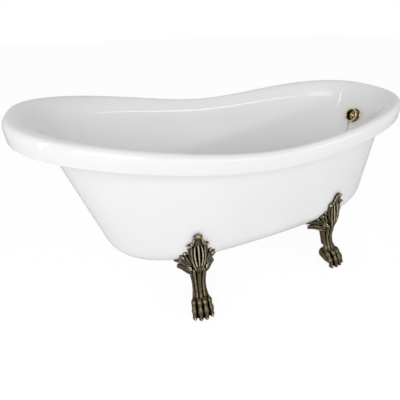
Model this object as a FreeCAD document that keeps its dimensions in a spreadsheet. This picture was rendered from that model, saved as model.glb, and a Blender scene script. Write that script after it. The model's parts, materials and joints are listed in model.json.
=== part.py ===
import FreeCAD, Part

import math
import os
from types import SimpleNamespace

# A freestanding slipper bath: a formed inner tub with a rolled rim, an outer skin round it,
# four cast claw feet on two cross rails, and a plug and chain waste with its overflow.
# Millimetres. X runs along the bath towards the drain end, -Y is the front, Z is up from the floor.
# The origin is on the floor under the middle of the bath.

Vector = FreeCAD.Vector
UP = Vector(0, 0, 1)
ALONG = Vector(1, 0, 0)
ACROSS = Vector(0, 1, 0)

SIZES = {
    # Overall
    "bath_length": 1600.0,
    "bath_width": 750.0,
    "saddle_height": 677.0,
    "end_rise": 97.0,
    "rim_tilt": 26.0,
    "under_clearance": 180.0,
    # Rolled rim
    "roll_width": 38.0,
    "roll_shoulder": 27.0,
    "roll_flare": 77.0,
    "skirt_height": 61.0,
    # Outer skin, and how far the rim reaches over it at its bottom and at its reference height
    "skin_thickness": 4.0,
    "skin_reference_height": 800.0,
    "backrest_overhang_bottom": 241.0,
    "drain_overhang_bottom": 78.0,
    "side_overhang_bottom": 86.0,
    "backrest_overhang_top": 70.0,
    "drain_overhang_top": 32.0,
    "side_overhang_top": 28.0,
    "skin_corner_radius": 112.0,
    "flange_drop": 54.0,
    "flange_clearance": 0.5,
    # Inner tub, and the cavity between it and the skin at the floor and at the saddle
    "sheet_thickness": 7.0,
    "seat_gap": 0.3,
    "side_cavity_bottom": 11.0,
    "side_cavity_top": 4.5,
    "backrest_cavity_bottom": 14.0,
    "backrest_cavity_top": 6.5,
    "drain_cavity_bottom": 88.0,
    "drain_cavity_top": 12.0,
    "tub_corner_radius": 100.0,
    "dish_radius": 44.0,
    "dish_depth": 2.5,
    "dish_floor_radius": 36.0,
    # Core of the rolled rim, on the skin's flange
    "core_width": 22.0,
    "core_height": 24.0,
    "core_inset": 4.5,
    "core_gap": 0.5,
    # Base board between the floors, set in from the ends and sides of the rim
    "board_thickness": 20.0,
    "board_left_setback": 400.0,
    "board_right_setback": 240.0,
    "board_side_setback": 235.0,
    "board_corner_radius": 120.0,
    # Cross rails
    "rail_width": 60.0,
    "rail_thickness": 8.0,
    "rail_length": 500.0,
    "rail_screw_radius": 2.5,
    "rail_screw_length": 22.0,
    "rail_screw_head_radius": 5.0,
    "rail_screw_head_height": 3.0,
    "rail_screw_inner": 60.0,
    "rail_screw_outer": 120.0,
    # Claw feet
    "foot_left_setback": 525.0,
    "foot_right_setback": 405.0,
    "foot_seat_height": 300.0,
    "foot_seat_clearance": 0.4,
    "leaf_thickness": 12.0,
    "leaf_middle_thickness": 19.0,
    "leaf_top_height": 352.0,
    "leaf_root_height": 204.0,
    "leaf_half_width": 18.0,
    "leaf_side_depth": 34.0,
    "leaf_reach": 44.0,
    "wing_depth": 100.0,
    "leg_half_width": 25.0,
    "leg_half_depth": 17.0,
    "leg_top_height": 208.0,
    "tendon_radius": 9.0,
    "paw_height": 64.0,
    "paw_half_width": 35.0,
    "paw_heel": 10.0,
    "paw_toe": 92.0,
    "toe_radius": 10.5,
    "claw_radius": 4.5,
    "claw_length": 11.0,
    "tongue_width": 56.0,
    "tongue_thickness": 12.0,
    "tongue_reach": 84.0,
    # Bolts that hold the feet to the rails
    "bolt_radius": 5.0,
    "bolt_spacing": 28.0,
    "bolt_reach": 52.0,
    "bolt_end": 3.0,
    "bolt_head_height": 6.4,
    "bolt_key_width": 17.0,
    "nut_height": 8.0,
    "washer_radius": 9.5,
    "washer_thickness": 2.0,
    "thread_clearance": 0.08,
    # Levellers in the paws
    "leveller_place": 52.0,
    "leveller_radius": 4.0,
    "leveller_length": 34.0,
    "leveller_head_gap": 4.0,
    "pad_radius": 15.0,
    "pad_thickness": 6.0,
    "pad_recess_clearance": 1.5,
    "pad_lift": 0.5,
    "pad_socket_floor": 2.5,
    # Waste in the floor of the tub
    "drain_setback": 320.0,
    "drain_hole_radius": 24.0,
    "drain_access_radius": 50.0,
    "flange_radius": 35.0,
    "flange_thickness": 2.5,
    "flange_gasket_thickness": 1.0,
    "gasket_edge": 1.0,
    "tail_radius": 22.0,
    "tail_bore_radius": 19.5,
    "tail_length": 45.0,
    "seat_top_radius": 22.5,
    "seat_depth": 9.0,
    "cross_bar_width": 4.0,
    "cross_bar_height": 3.0,
    "cross_bar_depth": 26.0,
    "lower_gasket_thickness": 3.0,
    "waste_collar_thickness": 6.0,
    "waste_radius": 27.0,
    "waste_length": 86.0,
    "waste_spigot_radius": 25.0,
    "waste_spigot_length": 20.0,
    "port_drop": 51.0,
    "port_radius": 15.0,
    "port_length": 58.0,
    "port_nut_key_width": 38.0,
    "port_nut_length": 18.0,
    "port_nut_lip": 4.0,
    # Trap under the waste
    "trap_wall": 3.0,
    "trap_radius": 21.0,
    "trap_washer_thickness": 3.0,
    "trap_flange_thickness": 3.5,
    "trap_flange_radius": 24.5,
    "trap_nut_key_width": 62.0,
    "trap_nut_length": 24.0,
    "trap_nut_lip": 3.0,
    "trap_bend_radius": 28.0,
    "trap_inlet_length": 33.0,
    "trap_riser_length": 9.0,
    "trap_outlet_reach": 150.0,
    "trap_socket_radius": 25.5,
    "trap_socket_length": 36.0,
    "outlet_radius": 20.3,
    "outlet_depth": 30.0,
    "outlet_nut_key_width": 60.0,
    "outlet_nut_length": 18.0,
    # Overflow in the drain end wall
    "overflow_height": 600.0,
    "overflow_hole_radius": 22.0,
    "overflow_base_radius": 35.0,
    "overflow_base_thickness": 5.0,
    "overflow_base_skirt": 3.0,
    "overflow_neck_radius": 31.0,
    "overflow_length": 31.0,
    "overflow_lip_radius": 33.5,
    "overflow_lip_length": 6.0,
    "overflow_mouth_radius": 25.0,
    "overflow_grid_height": 6.0,
    "overflow_grid_thickness": 2.5,
    "overflow_grid_hole_radius": 4.0,
    "overflow_grid_hole_place": 15.0,
    "overflow_screw_radius": 3.0,
    "overflow_screw_head_radius": 6.0,
    "overflow_screw_head_height": 3.0,
    "overflow_screw_length": 29.0,
    "overflow_seal_thickness": 2.0,
    "elbow_radius": 27.0,
    "elbow_depth": 16.0,
    "elbow_wall": 2.5,
    "elbow_boss_radius": 5.5,
    "elbow_boss_length": 9.0,
    "elbow_socket_radius": 12.8,
    "elbow_socket_top": 22.0,
    "elbow_socket_length": 40.0,
    # Pipe from the overflow to the waste
    "pipe_radius": 10.5,
    "pipe_wall": 1.5,
    "pipe_skin_gap": 4.0,
    "pipe_top_drop": 32.0,
    "pipe_turn_height": 290.0,
    "pipe_low_setback": 150.0,
    "pipe_bend_radius": 50.0,
    "pipe_hole_clearance": 3.0,
    "pipe_hole_length": 100.0,
    # Plug
    "plug_clearance": 0.4,
    "plug_head_thickness": 3.5,
    "plug_head_radius": 23.5,
    "stem_radius": 2.5,
    "stem_depth": 9.0,
    "stem_disc_radius": 6.5,
    "stem_disc_thickness": 1.5,
    "loop_radius": 4.5,
    "loop_wire_radius": 1.2,
    # Chain with its clip and its stay on the overflow
    "stay_radius": 4.5,
    "stay_wire_radius": 1.5,
    "stay_place": 22.0,
    "stay_drop": 34.0,
    "clip_width": 9.0,
    "clip_height": 17.0,
    "clip_wire_radius": 1.1,
    "bead_radius": 2.2,
    "bead_pitch": 6.0,
    "bead_pin_radius": 0.7,
    "chain_gap": 1.2,
    "chain_ease": 30.0,
    # One overrun serves every cut
    "overrun": 2.0,
}

# How the rim climbs from the saddle to an end: shares of the square, cube and fourth power
RISE_SHARES = (2.66, -2.40, 0.74)

# Powers of the plan curves: 2 is an ellipse, more is squarer
SKIN_BOTTOM_POWER = 2.85
SKIN_TOP_POWER = 2.21
RIM_LENGTH_POWER = 2.93
RIM_WIDTH_POWER = 2.54

RING_POINTS = 48
CORNER_STEPS = 6
WALL_STEPS = 4
FLARE_STEPS = 6
SHOULDER_STEPS = 4
GRID_HOLES = 6

# Turn of each foot's toes away from the middle of the bath, in degrees
FOOT_SPLAY = 9.0

document = FreeCAD.newDocument("bathtub")
sheet = document.addObject("Spreadsheet::Sheet", "Sizes")
for row, (alias, value) in enumerate(SIZES.items(), start=1):
    sheet.set(f"A{row}", alias)
    sheet.set(f"B{row}", str(value))
    sheet.setAlias(f"B{row}", alias)
document.recompute()
d = SimpleNamespace(**{alias: float(sheet.get(alias)) for alias in SIZES})

nodes = {}


def keep(label, piece):
    """Names a finished sub-part."""
    piece.Label = label
    nodes[label] = piece
    return piece


def bound(text):
    """A sum of driving dimensions as an expression: every alias gets the sheet's name."""
    words = text.replace("(", "( ").replace(")", " )").split()
    return " ".join("Sizes." + word if word in SIZES else word for word in words)


def primitive(kind, name, base=("0", "0", "0"), turn=None, **sums):
    """A Part primitive with its sizes and its place bound to the sheet."""
    piece = document.addObject(kind, name)
    if turn:
        piece.Placement = FreeCAD.Placement(Vector(), turn)
    for axis, text in zip("xyz", base):
        piece.setExpression("Placement.Base." + axis, bound(text))
    for name_of_size, text in sums.items():
        piece.setExpression(name_of_size, bound(text))
    return piece


def cylinder(name, radius, height, base=("0", "0", "0"), turn=None):
    return primitive("Part::Cylinder", name, base, turn, Radius=radius, Height=height)


def box(name, length, width, height, base):
    return primitive("Part::Box", name, base, None, Length=length, Width=width, Height=height)


def hexagon(name, key_width, height, base=("0", "0", "0"), turn=None):
    piece = primitive("Part::Prism", name, base, turn, Height=height)
    piece.Polygon = 6
    piece.setExpression("Circumradius", bound(f"{key_width} / 2 / cos(30)"))
    return piece


def fuse(name, pieces):
    result = document.addObject("Part::MultiFuse", name)
    result.Shapes = pieces
    return result


def cut(name, base, tools):
    result = document.addObject("Part::Cut", name)
    result.Base = base
    result.Tool = tools[0] if len(tools) == 1 else fuse(name + "_tools", tools)
    return result


def feature(name, shape):
    piece = document.addObject("Part::Feature", name)
    piece.Shape = shape
    return piece


def copies(name, pattern, places):
    """Separate copies of one finished piece, as one group."""
    shapes = []
    for place in places:
        shape = pattern.Shape.copy()
        shape.Placement = place.multiply(shape.Placement)
        shapes.append(shape)
    return feature(name, Part.makeCompound(shapes))


TO_ALONG = FreeCAD.Rotation(UP, ALONG)
TO_ACROSS = FreeCAD.Rotation(UP, ACROSS)

# Heights in the stack under the tub
BOARD_BOTTOM = "under_clearance + skin_thickness"
TUB_UNDERSIDE = f"{BOARD_BOTTOM} + board_thickness + seat_gap"
TUB_FLOOR = f"{TUB_UNDERSIDE} + sheet_thickness"
board_bottom = d.under_clearance + d.skin_thickness
tub_underside = board_bottom + d.board_thickness + d.seat_gap
tub_floor = tub_underside + d.sheet_thickness

# Places along the bath, each set back from the end of the rim that it goes with
half_length = d.bath_length / 2
half_bath_width = d.bath_width / 2
half_roll = d.roll_width / 2
DRAIN_PLACE = "( bath_length / 2 - drain_setback )"
FOOT_ENDS = {side: f"( bath_length / 2 - foot_{side}_setback )" for side in ("left", "right")}
drain_place = half_length - d.drain_setback
pipe_low_place = half_length - d.pipe_low_setback


def mix(start, end, share):
    return start + (end - start) * share


# Rim line: how high the top of the roll stands at a share of the half length
def rim_height(share, lift=1.0):
    rise = sum(part * abs(share) ** (power + 2) for power, part in enumerate(RISE_SHARES))
    return lift * (d.end_rise * rise - d.rim_tilt * share)


def ring_points(left, right, half_width, powers, middle, lift):
    """Points of a closed ring round the bath whose ends climb with the rim."""
    points = []
    for step in range(RING_POINTS):
        angle = 2 * math.pi * step / RING_POINTS
        cosine = round(math.cos(angle), 9)
        sine = round(math.sin(angle), 9)
        along = math.copysign(abs(cosine) ** (2 / powers[0]), cosine)
        across = math.copysign(abs(sine) ** (2 / powers[1]), sine)
        length = right if cosine >= 0 else left
        points.append(Vector(length * along, half_width * across, middle + rim_height(along, lift)))
    return points


def smooth_ring(points):
    curve = Part.BSplineCurve()
    curve.interpolate(Points=points, PeriodicFlag=True)
    return Part.Wire(curve.toShape())


def skin_share(height):
    return (height - d.under_clearance) / (d.skin_reference_height - d.under_clearance)


def skin_power(height):
    return mix(SKIN_BOTTOM_POWER, SKIN_TOP_POWER, skin_share(height))


def skin_left(height):
    return half_length - mix(d.backrest_overhang_bottom, d.backrest_overhang_top, skin_share(height))


def skin_right(height):
    return half_length - mix(d.drain_overhang_bottom, d.drain_overhang_top, skin_share(height))


def skin_half_width(height):
    return half_bath_width - mix(d.side_overhang_bottom, d.side_overhang_top, skin_share(height))


def stack(bottom, top, height):
    """Skin, cavity and sheet between the bath's outer face and the tub's inner one."""
    share = (height - tub_floor) / (d.saddle_height - tub_floor)
    return d.skin_thickness + mix(bottom, top, share) + d.sheet_thickness


def tub_left(height):
    return skin_left(height) - stack(d.backrest_cavity_bottom, d.backrest_cavity_top, height)


def tub_right(height):
    return skin_right(height) - stack(d.drain_cavity_bottom, d.drain_cavity_top, height)


def tub_half_width(height):
    return skin_half_width(height) - stack(d.side_cavity_bottom, d.side_cavity_top, height)


def walled_points(left, right, half_width, offset, middle, lift, inset=0.0):
    """A ring's points on three wall lines, each read at the height that the ring has there."""
    power = skin_power(middle)
    return ring_points(
        left(middle + rim_height(-1.0, lift)) + offset - inset,
        right(middle + rim_height(1.0, lift)) + offset - inset,
        half_width(middle) + offset - inset,
        (power, power), middle, lift,
    )


def walled(*wall):
    return smooth_ring(walled_points(*wall))


def bowl_rings(lines, floor, radius, offset, top):
    """The rings of a rounded floor corner and of the wall above it."""
    radius = radius + offset
    floor = floor - offset
    corner = []
    for step in range(CORNER_STEPS + 1):
        angle = math.pi / 2 * step / CORNER_STEPS
        height = floor + radius * (1 - math.cos(angle))
        corner.append(walled(*lines, offset, height, 0.0, radius * (1 - math.sin(angle))))
    wall = [corner[-1]]
    for step in range(1, WALL_STEPS + 1):
        share = step / WALL_STEPS
        wall.append(walled(*lines, offset, mix(floor + radius, top, share), share))
    return corner, wall


def lofted(rings, ruled=False):
    return Part.makeLoft(rings, False, ruled, False).Faces


def closed(faces):
    shell = Part.makeShell(faces)
    shell.sewShape()
    solid = Part.Solid(shell)
    return solid if solid.Volume > 0 else solid.reversed()


SKIN_LINES = (skin_left, skin_right, skin_half_width)
TUB_LINES = (tub_left, tub_right, tub_half_width)
RIM_POWERS = (RIM_LENGTH_POWER, RIM_WIDTH_POWER)


def rim_points(inset, drop):
    """Points of a ring a set way in from the rim's outer line, and below its top."""
    return ring_points(half_length - inset, half_length - inset, half_bath_width - inset,
                       RIM_POWERS, d.saddle_height - drop, 1.0)


def rim_ring(inset, drop):
    return smooth_ring(rim_points(inset, drop))


def tub_face(offset):
    """One face of the sheet, from the floor up over the roll and down its skirt."""
    flare_foot = d.saddle_height - d.roll_flare
    corner, wall = bowl_rings(TUB_LINES, tub_floor, d.tub_corner_radius, offset, flare_foot)
    crown_length = half_length - half_roll
    crown_width = half_bath_width - half_roll
    flare = [wall[-1]]
    for step in range(1, FLARE_STEPS + 1):
        angle = math.pi / 2 * step / FLARE_STEPS
        height = flare_foot + (d.roll_flare - offset) * math.sin(angle)
        out = 1 - math.cos(angle)
        power = skin_power(flare_foot)
        low = height + rim_height(-1.0)
        high = height + rim_height(1.0)
        flare.append(smooth_ring(ring_points(
            mix(tub_left(low) + offset, crown_length, out),
            mix(tub_right(high) + offset, crown_length, out),
            mix(tub_half_width(height) + offset, crown_width, out),
            (mix(power, RIM_LENGTH_POWER, out), mix(power, RIM_WIDTH_POWER, out)), height, 1.0,
        )))
    shoulder = [flare[-1]]
    for step in range(1, SHOULDER_STEPS + 1):
        angle = math.pi / 2 * step / SHOULDER_STEPS
        out = (half_roll - offset) * math.sin(angle)
        drop = d.roll_shoulder - (d.roll_shoulder - offset) * math.cos(angle)
        shoulder.append(rim_ring(half_roll - out, drop))
    hem = rim_ring(offset, d.skirt_height)
    faces = lofted(corner) + lofted(wall) + lofted(flare) + lofted(shoulder)
    return faces + lofted([shoulder[-1], hem], True), corner[0], hem


def inner_tub():
    inner_faces, inner_floor, inner_hem = tub_face(0.0)
    outer_faces, outer_floor, outer_hem = tub_face(d.sheet_thickness)
    tub = closed(inner_faces + outer_faces + lofted([inner_hem, outer_hem], True)
                 + [Part.Face(inner_floor), Part.Face(outer_floor)])
    drain = Vector(drain_place, 0, tub_floor - d.dish_depth)
    dish = Part.makeCone(d.dish_floor_radius, d.dish_radius, d.dish_depth, drain)
    hole = Part.makeCylinder(d.drain_hole_radius, d.sheet_thickness + 2 * d.overrun,
                             drain - UP * d.sheet_thickness)
    overflow = Part.makeCylinder(d.overflow_hole_radius, d.sheet_thickness + 4 * d.overrun,
                                 wall_point + wall_normal * 2 * d.overrun, wall_normal * -1)
    return tub.cut([dish, hole, overflow])


def outer_shell():
    """The skin with its rounded floor corner and the flange that lies inside the roll."""
    flange_top = d.saddle_height - d.flange_drop
    flange_bottom = flange_top - d.skin_thickness
    corner, wall = bowl_rings(SKIN_LINES, d.under_clearance, d.skin_corner_radius, 0.0, flange_bottom)
    inner_corner, inner_wall = bowl_rings(SKIN_LINES, d.under_clearance, d.skin_corner_radius,
                                          -d.skin_thickness, flange_top)
    edge = d.sheet_thickness + d.flange_clearance
    low_edge = rim_ring(edge, d.flange_drop + d.skin_thickness)
    high_edge = rim_ring(edge, d.flange_drop)
    shell = closed(
        lofted(corner) + lofted(wall) + lofted(inner_corner) + lofted(inner_wall)
        + lofted([wall[-1], low_edge], True) + lofted([low_edge, high_edge], True)
        + lofted([high_edge, inner_wall[-1]], True)
        + [Part.Face(corner[0]), Part.Face(inner_corner[0])]
    )
    reach = d.skin_thickness + 2 * d.overrun
    floor = Vector(0, 0, d.under_clearance - d.overrun)
    tools = [Part.makeCylinder(d.drain_access_radius, reach, floor + ALONG * drain_place)]
    tools += [Part.makeCylinder(d.rail_screw_radius + d.thread_clearance, reach, floor + place)
              for place in rail_screw_places()]
    pipe_corner = Vector(pipe_low_place, 0, port_height)
    pipe_run = (pipe_turn - pipe_corner).normalize()
    tools.append(Part.makeCylinder(d.pipe_radius + d.pipe_hole_clearance, d.pipe_hole_length,
                                   pipe_corner, pipe_run))
    return shell.cut(tools)


def skin_body(offset):
    """The space that the skin takes up beside the feet, grown by an offset."""
    corner = []
    top = d.leaf_top_height + d.skin_corner_radius
    floor = d.under_clearance - offset
    radius = d.skin_corner_radius + offset
    for step in range(CORNER_STEPS + 1):
        angle = math.pi / 2 * step / CORNER_STEPS
        height = floor + radius * (1 - math.cos(angle))
        corner.append(walled(*SKIN_LINES, offset, height, 0.0, radius * (1 - math.sin(angle))))
    wall = [corner[-1], walled(*SKIN_LINES, offset, mix(floor + radius, top, 1 / 2), 0.0),
            walled(*SKIN_LINES, offset, top, 0.0)]
    return closed(lofted(corner) + lofted(wall) + [Part.Face(corner[0]), Part.Face(wall[-1])])


def core_ring(inset, rise):
    """A ring over the flange's top, a set way in from its edge."""
    edge = rim_points(d.sheet_thickness + d.flange_clearance, d.flange_drop)
    root = walled_points(*SKIN_LINES, -d.skin_thickness, d.saddle_height - d.flange_drop, 1.0)
    points = []
    for number, (outer, inner) in enumerate(zip(edge, root)):
        run = (inner - outer).normalize()
        tangent = (edge[(number + 1) % RING_POINTS] - edge[number - 1]).normalize()
        squareness = math.sqrt(1 - run.dot(tangent) ** 2)
        points.append(outer + run * (inset / squareness) + UP * rise)
    return smooth_ring(points)


def rim_core():
    """The batten that fills the roll and takes the flange's glue."""
    inner = d.core_inset + d.core_width
    top = d.core_gap + d.core_height
    rings = [core_ring(d.core_inset, d.core_gap), core_ring(d.core_inset, top),
             core_ring(inner, top), core_ring(inner, d.core_gap)]
    faces = []
    for first, second in zip(rings, rings[1:] + rings[:1]):
        faces += lofted([first, second], True)
    return closed(faces)


# Where the overflow's axis meets the inner face of the drain end, and the wall's tilt there
wall_slope = (tub_right(d.overflow_height) - tub_right(tub_floor)) / (d.overflow_height - tub_floor)
wall_normal = Vector(-1, 0, wall_slope).normalize()
wall_up = Vector(wall_slope, 0, 1).normalize()
wall_point = Vector(tub_right(d.overflow_height), 0, d.overflow_height)

# The overflow pipe runs down beside the skin, turns in under the tub and ends in the waste's port
port_height = tub_underside - d.lower_gasket_thickness - d.port_drop


def pipe_point(height):
    reach = d.skin_thickness + d.pipe_skin_gap + d.pipe_radius
    return Vector(skin_right(height) - reach, 0, height)


pipe_top = pipe_point(d.overflow_height - d.pipe_top_drop)
pipe_turn = pipe_point(d.pipe_turn_height)


def foot_origin(place):
    """A foot's origin: on the floor, under the skin's side at the seat's height."""
    return Vector(place, skin_depth(place, d.foot_seat_height), 0)


def skin_depth(along, height, offset=0.0):
    """How far the skin's side stands from the bath's middle plane."""
    inset = 0.0
    rise = (height - d.under_clearance) / d.skin_corner_radius
    if rise < 1:
        inset = d.skin_corner_radius * (1 - math.sqrt(1 - (1 - rise) ** 2))
    length = (skin_right(height) if along > 0 else skin_left(height)) - inset + offset
    width = skin_half_width(height) - inset + offset
    power = skin_power(height)
    return width * (1 - (abs(along) / length) ** power) ** (1 / power)


FOOT_PLACES = {"left": d.foot_left_setback - half_length, "right": half_length - d.foot_right_setback}
FOOT_TURNS = {"left": 180.0 - FOOT_SPLAY, "right": 180.0 + FOOT_SPLAY}


def foot_place(side):
    """From a front foot's own frame, toes along +Y, to the bath."""
    origin = foot_origin(FOOT_PLACES[side])
    return FreeCAD.Placement(Vector(origin.x, -origin.y, 0), FreeCAD.Rotation(UP, FOOT_TURNS[side]))


def mirrored(point):
    return Vector(point.x, -point.y, point.z)


def foot_points(points):
    """The same points of all four feet, in the bath's frame."""
    front = [foot_place(side).multVec(point) for side in FOOT_PLACES for point in points]
    return front + [mirrored(point) for point in front]


def bolt_points(height=0.0):
    step = d.bolt_spacing / 2
    return foot_points([Vector(-step, -d.bolt_reach, height), Vector(step, -d.bolt_reach, height)])


def leveller_points():
    return foot_points([Vector(0, d.leveller_place, 0)])


def rail_place(side):
    """The middle of a rail: in line with its feet's bolts."""
    return foot_place(side).multVec(Vector(0, -d.bolt_reach, 0)).x


def rail_screw_places():
    return [Vector(rail_place(side), across * sign, 0) for side in FOOT_PLACES
            for across in (d.rail_screw_inner, d.rail_screw_outer) for sign in (-1, 1)]


def rounded_path(points, radii):
    """Straight runs joined by tangent arcs, one radius for each inner point."""
    edges = []
    start = points[0]
    for before, corner, after, radius in zip(points, points[1:], points[2:], radii):
        back = (before - corner).normalize()
        forth = (after - corner).normalize()
        half_angle = back.getAngle(forth) / 2
        reach = radius / math.tan(half_angle)
        middle = corner + (back + forth).normalize() * (radius / math.sin(half_angle) - radius)
        first = corner + back * reach
        last = corner + forth * reach
        if start.distanceToPoint(first) > d.seat_gap:
            edges.append(Part.LineSegment(start, first).toShape())
        else:
            first = start
        edges.append(Part.Arc(first, middle, last).toShape())
        start = last
    edges.append(Part.LineSegment(start, points[-1]).toShape())
    return Part.Wire(edges)


def swept(points, radii, radius):
    path = rounded_path(points, radii)
    direction = (points[1] - points[0]).normalize()
    section = Part.Wire(Part.makeCircle(radius, points[0], direction))
    return path.makePipeShell([section], True, False)


# Trap route: down from the waste, round under it, up, and out towards the wall behind
trap_top = (tub_underside - d.lower_gasket_thickness - d.waste_length - d.trap_washer_thickness)
trap_low = trap_top - d.trap_inlet_length - d.trap_bend_radius
trap_out_height = trap_low + 2 * d.trap_bend_radius + d.trap_riser_length


def trap_body():
    """A swan-neck trap: a tube with its union flange above and its outlet socket behind."""
    x = drain_place
    riser = 2 * d.trap_bend_radius
    points = [Vector(x, 0, trap_top), Vector(x, 0, trap_low), Vector(x, riser, trap_low),
              Vector(x, riser, trap_out_height), Vector(x, d.trap_outlet_reach, trap_out_height)]
    radii = [d.trap_bend_radius] * 3
    outlet = points[-1]
    solid = swept(points, radii, d.trap_radius)
    flange = Part.makeCylinder(d.trap_flange_radius, d.trap_flange_thickness,
                               points[0] - UP * d.trap_flange_thickness)
    socket = Part.makeCylinder(d.trap_socket_radius, d.trap_socket_length, outlet, ACROSS * -1)
    passage = swept(points, radii, d.trap_radius - d.trap_wall)
    bore = Part.makeCylinder(d.outlet_radius, d.outlet_depth, outlet, ACROSS * -1)
    return solid.fuse([flange, socket]).cut([passage, bore])


def overflow_pipe():
    corner = Vector(pipe_low_place, 0, port_height)
    end = Vector(drain_place + d.waste_radius + d.port_nut_lip, 0, port_height)
    points = [pipe_top, pipe_turn, corner, end]
    radii = [d.pipe_bend_radius] * 2
    return swept(points, radii, d.pipe_radius).cut(swept(points, radii, d.pipe_radius - d.pipe_wall))


def overflow_elbow():
    """A shallow cup behind the wall with a boss for the screw and a socket for the pipe."""
    back = wall_normal * -1
    rim = wall_point + back * (d.sheet_thickness + d.seat_gap + d.overflow_seal_thickness)
    cup = Part.makeCylinder(d.elbow_radius, d.elbow_depth, rim, back)
    hollow = Part.makeCylinder(d.elbow_radius - d.elbow_wall, d.elbow_depth - d.elbow_wall, rim, back)
    bottom = rim + back * d.elbow_depth
    boss = Part.makeCylinder(d.elbow_boss_radius, d.elbow_boss_length, bottom, wall_normal)
    thread = Part.makeCylinder(d.overflow_screw_radius + d.thread_clearance,
                               d.elbow_boss_length - d.elbow_wall, bottom + wall_normal * d.elbow_wall,
                               wall_normal)
    down = (pipe_turn - pipe_top).normalize()
    top = pipe_point(d.overflow_height - d.elbow_socket_top)
    socket = Part.makeCylinder(d.elbow_socket_radius, d.elbow_socket_length, top, down)
    bore = Part.makeCylinder(d.pipe_radius + d.thread_clearance, d.elbow_socket_length,
                             top + down * d.elbow_wall, down)
    seal_side = Part.makeCylinder(d.elbow_radius + d.overrun, d.elbow_radius, rim, wall_normal)
    return cup.fuse(socket).cut([hollow, bore, seal_side]).fuse(boss).cut(thread)


def lobe(start, end, start_radius, end_radius, near, far):
    """A leaf of the foot: two rounds and the tangents between them, seen from the front."""
    run = end - start
    length = run.Length
    lean = math.acos((start_radius - end_radius) / length)
    heading = math.atan2(run.z, run.x)
    corners = []
    for centre, radius, sides in ((start, start_radius, (1, -1)), (end, end_radius, (-1, 1))):
        for side in sides:
            angle = heading + side * lean
            corners.append(centre + Vector(math.cos(angle), 0, math.sin(angle)) * radius)
    along = run * (1 / length)
    tail = start - along * start_radius
    tip = end + along * end_radius
    edges = [Part.Arc(corners[0], tail, corners[1]).toShape(),
             Part.LineSegment(corners[1], corners[2]).toShape(),
             Part.Arc(corners[2], tip, corners[3]).toShape(),
             Part.LineSegment(corners[3], corners[0]).toShape()]
    face = Part.Face(Part.Wire(edges))
    face.translate(ACROSS * near)
    return face.extrude(ACROSS * (far - near))


# Leaves of a foot on one side: where a leaf starts and ends, as shares of the leaf's reach across
# and of its height over its root, then the radii at its root and tip as shares of its half width
SIDE_LEAF_SHARES = (
    ((0.10, 0.10), (0.92, 0.77), 0.72, 0.60),
    ((0.20, 0.00), (1.16, 0.44), 0.72, 0.66),
)
WING_SHARES = (
    ((0.50, 0.05), (1.64, 0.06), 0.72, 0.62),
    ((0.50, -0.06), (1.36, -0.11), 0.60, 0.56),
)
# Leg stations from the top down: height as a share of the leg's top, half width and half depth as
# shares of the leg's, and how far out it stands as a share of the paw's length
LEG_SHARES = (
    (1.00, 1.38, 1.20, -0.14),
    (0.82, 1.22, 1.15, -0.08),
    (0.60, 1.04, 1.00, 0.01),
    (0.43, 0.98, 1.00, 0.16),
    (0.28, 1.06, 1.06, 0.30),
)
# Paw stations from heel to toes: place as a share of its length, then half width and top shares
PAW_SHARES = (
    (0.00, 0.52, 0.50),
    (0.20, 0.84, 0.98),
    (0.45, 0.97, 1.08),
    (0.68, 1.00, 0.90),
    (0.86, 0.96, 0.62),
)
# Toes across the paw as shares of its half width, a knuckle's place as shares of the toe's place
# across, the paw's length and its height, and how much of a station's height lies over its middle
TOE_PLACE_SHARES = (-0.84, -0.28, 0.28, 0.84)
KNUCKLE_SHARES = (0.9, 0.66, 0.58)
PAW_DEPTH_SHARE = 0.6
PAW_POWER = 2.4
# Tendons: how far the middle one and the side ones stand forward, as shares of the leg's depth
TENDON_FORWARD_SHARES = {-1: 1.2, 0: 1.45, 1: 1.2}
MIDDLE_ROOT_SHARE = 0.8
# How near two faces of a foot may lie and still be joined as one
JOIN_TOLERANCE = 0.001


def oval(middle, first, second, power=2.0, points=12):
    """A closed smooth curve round a point, on two half axes."""
    places = []
    for step in range(points):
        angle = 2 * math.pi * step / points
        cosine = round(math.cos(angle), 9)
        sine = round(math.sin(angle), 9)
        places.append(middle + first * math.copysign(abs(cosine) ** (2 / power), cosine)
                      + second * math.copysign(abs(sine) ** (2 / power), sine))
    curve = Part.BSplineCurve()
    curve.interpolate(Points=places, PeriodicFlag=True)
    return Part.Wire(curve.toShape())


def leg_line(share, outwards=0.0, aside=0.0):
    """A point on the leg's middle line, or beside it."""
    return Vector(aside, share[3] * d.paw_toe + outwards, share[0] * d.leg_top_height)


def leg():
    """The leg's core and the three tendons down its front."""
    core = Part.makeLoft([oval(leg_line(share), ALONG * d.leg_half_width * share[1],
                               ACROSS * d.leg_half_depth * share[2]) for share in LEG_SHARES], True)
    tendons = []
    for side in (-1, 0, 1):
        rings = []
        for share in LEG_SHARES:
            aside = side * (d.leg_half_width * share[1] - d.tendon_radius)
            forward = (d.leg_half_depth * share[2] - d.tendon_radius) * TENDON_FORWARD_SHARES[side]
            radius = d.tendon_radius * math.sqrt(share[1])
            rings.append(oval(leg_line(share, forward, aside), ALONG * radius, ACROSS * radius))
        tendons.append(Part.makeLoft(rings, True))
    return [core] + tendons


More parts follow.
